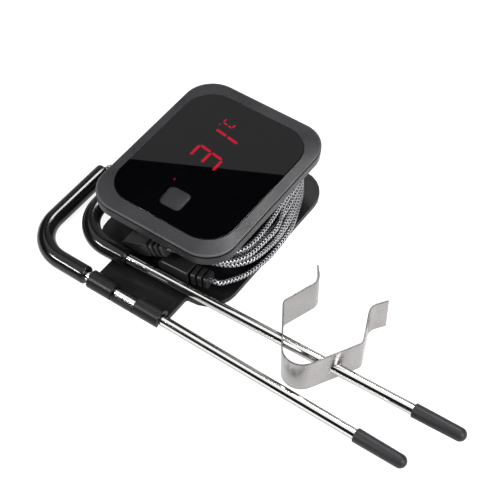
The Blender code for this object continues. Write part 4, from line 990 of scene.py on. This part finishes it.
def winding(first_level):
    """Points of one cable's turns. The sides lie level, and each turn climbs and crosses at the front.

    z = (1 - w) level + w crossing, with w rising from 0 on the sides to 1 at the front.
    """
    base, normal = core_stations()
    count = len(base)
    turn = np.repeat(np.arange(CABLE_TURNS), count)
    leaving = np.tile(np.arange(count) > count / 2, CABLE_TURNS)
    base, normal = np.tile(base, (CABLE_TURNS, 1)), np.tile(normal, (CABLE_TURNS, 1))
    y, right = base[:, 1], normal[:, 0]
    middle, half = (CORE_FRONT + CORE_REAR) / 2, (CORE_REAR - CORE_FRONT) / 2
    level = first_level + turn
    crossing = turn - 1 + leaving + (CABLE_TURNS - 1) * (first_level // CABLE_TURNS)
    side_z = LEVEL_START + LEVEL_PITCH * level
    front_z = CROSSING_START + CROSSING_PITCH * crossing
    climb = smooth_rise((CLIMB_START - y) / (CLIMB_START - CORE_FRONT))
    stagger = smooth_rise((STAGGER_START - y) / (STAGGER_START - CORE_FRONT - CORE_CORNER))
    along = np.maximum(0, 1 - ((y - middle) / half) ** 2)
    swell = np.maximum(0, 1 - ((y - BULGE_RIGHT_Y) / BULGE_RIGHT_SPAN) ** 2)
    bulge = (BULGE_RIGHT[0] - BULGE_RIGHT[1] * level) * np.maximum(0, right) * swell
    bulge += BULGE_LEFT * np.maximum(0, -right) * along
    out = WINDING_OFFSET + bulge + CROSSING_OFFSET * stagger * (crossing % 2)
    return np.column_stack([base + normal * out[:, None], side_z + (front_z - side_z) * climb])


def cable_route(index):
    """A cable's points: out of its plug's relief, round the core and into its sleeve."""
    way = rotated(np.array((1.0, 0.0, 0.0)), "Z", RELIEF_TURN[index])
    plug_end = rotated((PLUG_REACH, -PLUG_DEPTH / 2, 0.0) + way * RELIEF_LENGTH, "Y", -PLUG_ROLL[index])
    plug_end = plug_end + (JACK_X[index], PLUG_FACE, JACK_Z) + HOUSING
    way = rotated(way, "Y", -PLUG_ROLL[index])
    handle = handle_length(index)
    stop = probe_points(np.array(((0.0, handle + CABLE_LEAD, 0.0), (0.0, handle, 0.0))), index)
    turns = winding(CABLE_TURNS * (1 - index))
    first, last = CABLE_SKIP[index]
    return np.vstack([plug_end, plug_end + way * CABLE_LEAD,
                      np.array(CABLE_START[index]) * MM + HOUSING, turns[first:len(turns) - last] + HOUSING,
                      np.array(CABLE_END[index]) * MM + HOUSING, stop])


def smooth_line(points):
    """A Catmull-Rom line through points, at even steps, and the distances along it."""
    padded = np.vstack([2 * points[0] - points[1], points, 2 * points[-1] - points[-2]])
    p0, p1, p2, p3 = (padded[k:len(padded) - 3 + k][:, None] for k in range(4))
    t = np.linspace(0, 1, SPLINE_STEPS, endpoint=False)[None, :, None]
    line = 0.5 * (2 * p1 + (p2 - p0) * t + (2 * p0 - 5 * p1 + 4 * p2 - p3) * t ** 2
                  + (3 * p1 - p0 - 3 * p2 + p3) * t ** 3)
    line = np.vstack([line.reshape(-1, 3), points[-1]])
    full = distances(line)[-1]
    at = np.linspace(0, full, round(full / CABLE_STEP) + 1)
    return resampled(line, at), at


class THERMO_OT_cables(Operator):
    """Braided steel cables from the plugs, round the core and into the sleeves"""
    bl_idname = "thermo.cables"
    bl_label = "Cables"

    def execute(self, context):
        colours = context.scene.thermo_colours
        # Stainless wire braid over the lead: bright crossing wires, with painted shade darkening their sides
        # and the gaps between them.
        finish = braided("stainless steel braid", colours.braid, colours.braid_gap_shade)
        t = np.linspace(0, tau, CABLE_SIDES, endpoint=False)
        for index, number in enumerate((1, 2)):
            line, at = smooth_line(cable_route(index))
            way = unit(np.gradient(line, at, axis=0))
            side = unit(np.cross(way, UP))
            u = tau * at[:, None] / BRAID_LAY
            wires = np.maximum(np.sin(u + BRAID_STRANDS * t), np.sin(u - BRAID_STRANDS * t))
            radius = CABLE_RADIUS * (1 - BRAID_RELIEF * (1 - wires) / 2)
            grid = tube(line, side, np.cross(side, way), radius, CABLE_SIDES)
            name = f"cable_{number}_braid"
            made = show(name, tidied(skin(name, grid, along=at / MM)), finish, None,
                        [f"cable_{number}_winding"])
            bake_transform(made)
        return {"FINISHED"}


class THERMO_OT_fittings(Operator):
    """Finishes of the pieces inside and below: screws, cells, contacts, board, switch, jacks and pins"""
    bl_idname = "thermo.fittings"
    bl_label = "Fittings"

    def execute(self, context):
        looks = {}
        for name, hex_colour, roughness, grain, depth, spread, metallic, starts in FITTINGS:
            finish = moulded(name, linear(hex_colour), roughness, grain * MM, depth * MM, spread,
                             metallic=metallic)
            looks.update(dict.fromkeys(starts, finish))
        for name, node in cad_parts.items():
            found = [look for start, look in looks.items() if name.startswith(start)]
            if found and not node.hide_render:
                node.data.materials.clear()
                node.data.materials.append(found[0])
        return {"FINISHED"}


class THERMO_OT_stage(Operator):
    """Camera, floor, softboxes and the card that the window mirrors"""
    bl_idname = "thermo.stage"
    bl_label = "Stage"

    def execute(self, context):
        scene = context.scene
        setting = scene.thermo_stage
        scene.view_settings.view_transform = "Standard"
        eye = bpy.data.cameras.new("camera")
        eye.lens = CAMERA_LENS
        eye.sensor_width = CAMERA_SENSOR
        eye.clip_start = CAMERA_NEAR
        scene.camera = placed("camera", eye)
        scene.camera.location = CAMERA_PLACE
        scene.camera.rotation_euler = CAMERA_TURN
        world = bpy.data.worlds.new("studio")
        world.use_nodes = True
        world.node_tree.nodes["Background"].inputs["Color"].default_value = ROOM_TONE
        scene.world = world
        # White paper: even and without a highlight, so bright that it loses its own shade.
        paper = moulded("white paper sweep", linear("#898989"), roughness=0.8, grain=2 * MM, depth=0.0,
                        spread=0.01, Emission_Color=(*linear("#ffffff"), 1.0),
                        Emission_Strength=setting.floor)
        show("floor", flat_face("floor", FLOOR_CORNERS), paper, None)
        # Grey card: flat and dull, and seen only where the window mirrors it.
        grey = surface("matt grey card", linear("#3f3f3f"), roughness=0.8,
                       Emission_Color=(*linear("#fcfcff"), 1.0), Emission_Strength=setting.card)[0]
        backdrop = show("back_card", flat_face("back_card", CARD_CORNERS), grey, None)
        backdrop.visible_camera = False
        for name, power, size, place, aim in LAMPS:
            lamp = bpy.data.lights.new(name, "AREA")
            lamp.energy = getattr(setting, power)
            lamp.shape = "RECTANGLE"
            lamp.size, lamp.size_y = size
            made = placed(name, lamp)
            made.location = place
            made.rotation_euler = (Vector(aim) - Vector(place)).to_track_quat("-Z", "Y").to_euler()
        return {"FINISHED"}


BUILD_ORDER = (THERMO_OT_stage, THERMO_OT_cables, THERMO_OT_front_cover, THERMO_OT_window,
               THERMO_OT_digits, THERMO_OT_button, THERMO_OT_rear_shells, THERMO_OT_plugs,
               THERMO_OT_probes, THERMO_OT_grate_clip, THERMO_OT_fittings)
GROUPS = {"thermo_sizes": ThermoSizes, "thermo_colours": ThermoColours, "thermo_stage": ThermoStage}


class THERMO_PT_sidebar(Panel):
    """Steps of the build and their settings"""
    bl_idname = "THERMO_PT_sidebar"
    bl_label = "Meat thermometer"
    bl_space_type = "VIEW_3D"
    bl_region_type = "UI"
    bl_category = "Thermometer"

    def draw(self, context):
        for step in BUILD_ORDER:
            self.layout.operator(step.bl_idname)
        for group, kind in GROUPS.items():
            box = self.layout.box()
            for name in kind.__annotations__:
                box.prop(getattr(context.scene, group), name)


CLASSES = (*GROUPS.values(), *BUILD_ORDER, THERMO_PT_sidebar)


def register():
    for kind in CLASSES:
        bpy.utils.register_class(kind)
    for group, kind in GROUPS.items():
        setattr(Scene, group, PointerProperty(type=kind))


def unregister():
    for group in GROUPS:
        delattr(Scene, group)
    for kind in reversed(CLASSES):
        bpy.utils.unregister_class(kind)


def main():
    register()
    for step in BUILD_ORDER:
        getattr(bpy.ops.thermo, step.bl_idname.split(".")[1])()


if __name__ == "__main__":
    main()
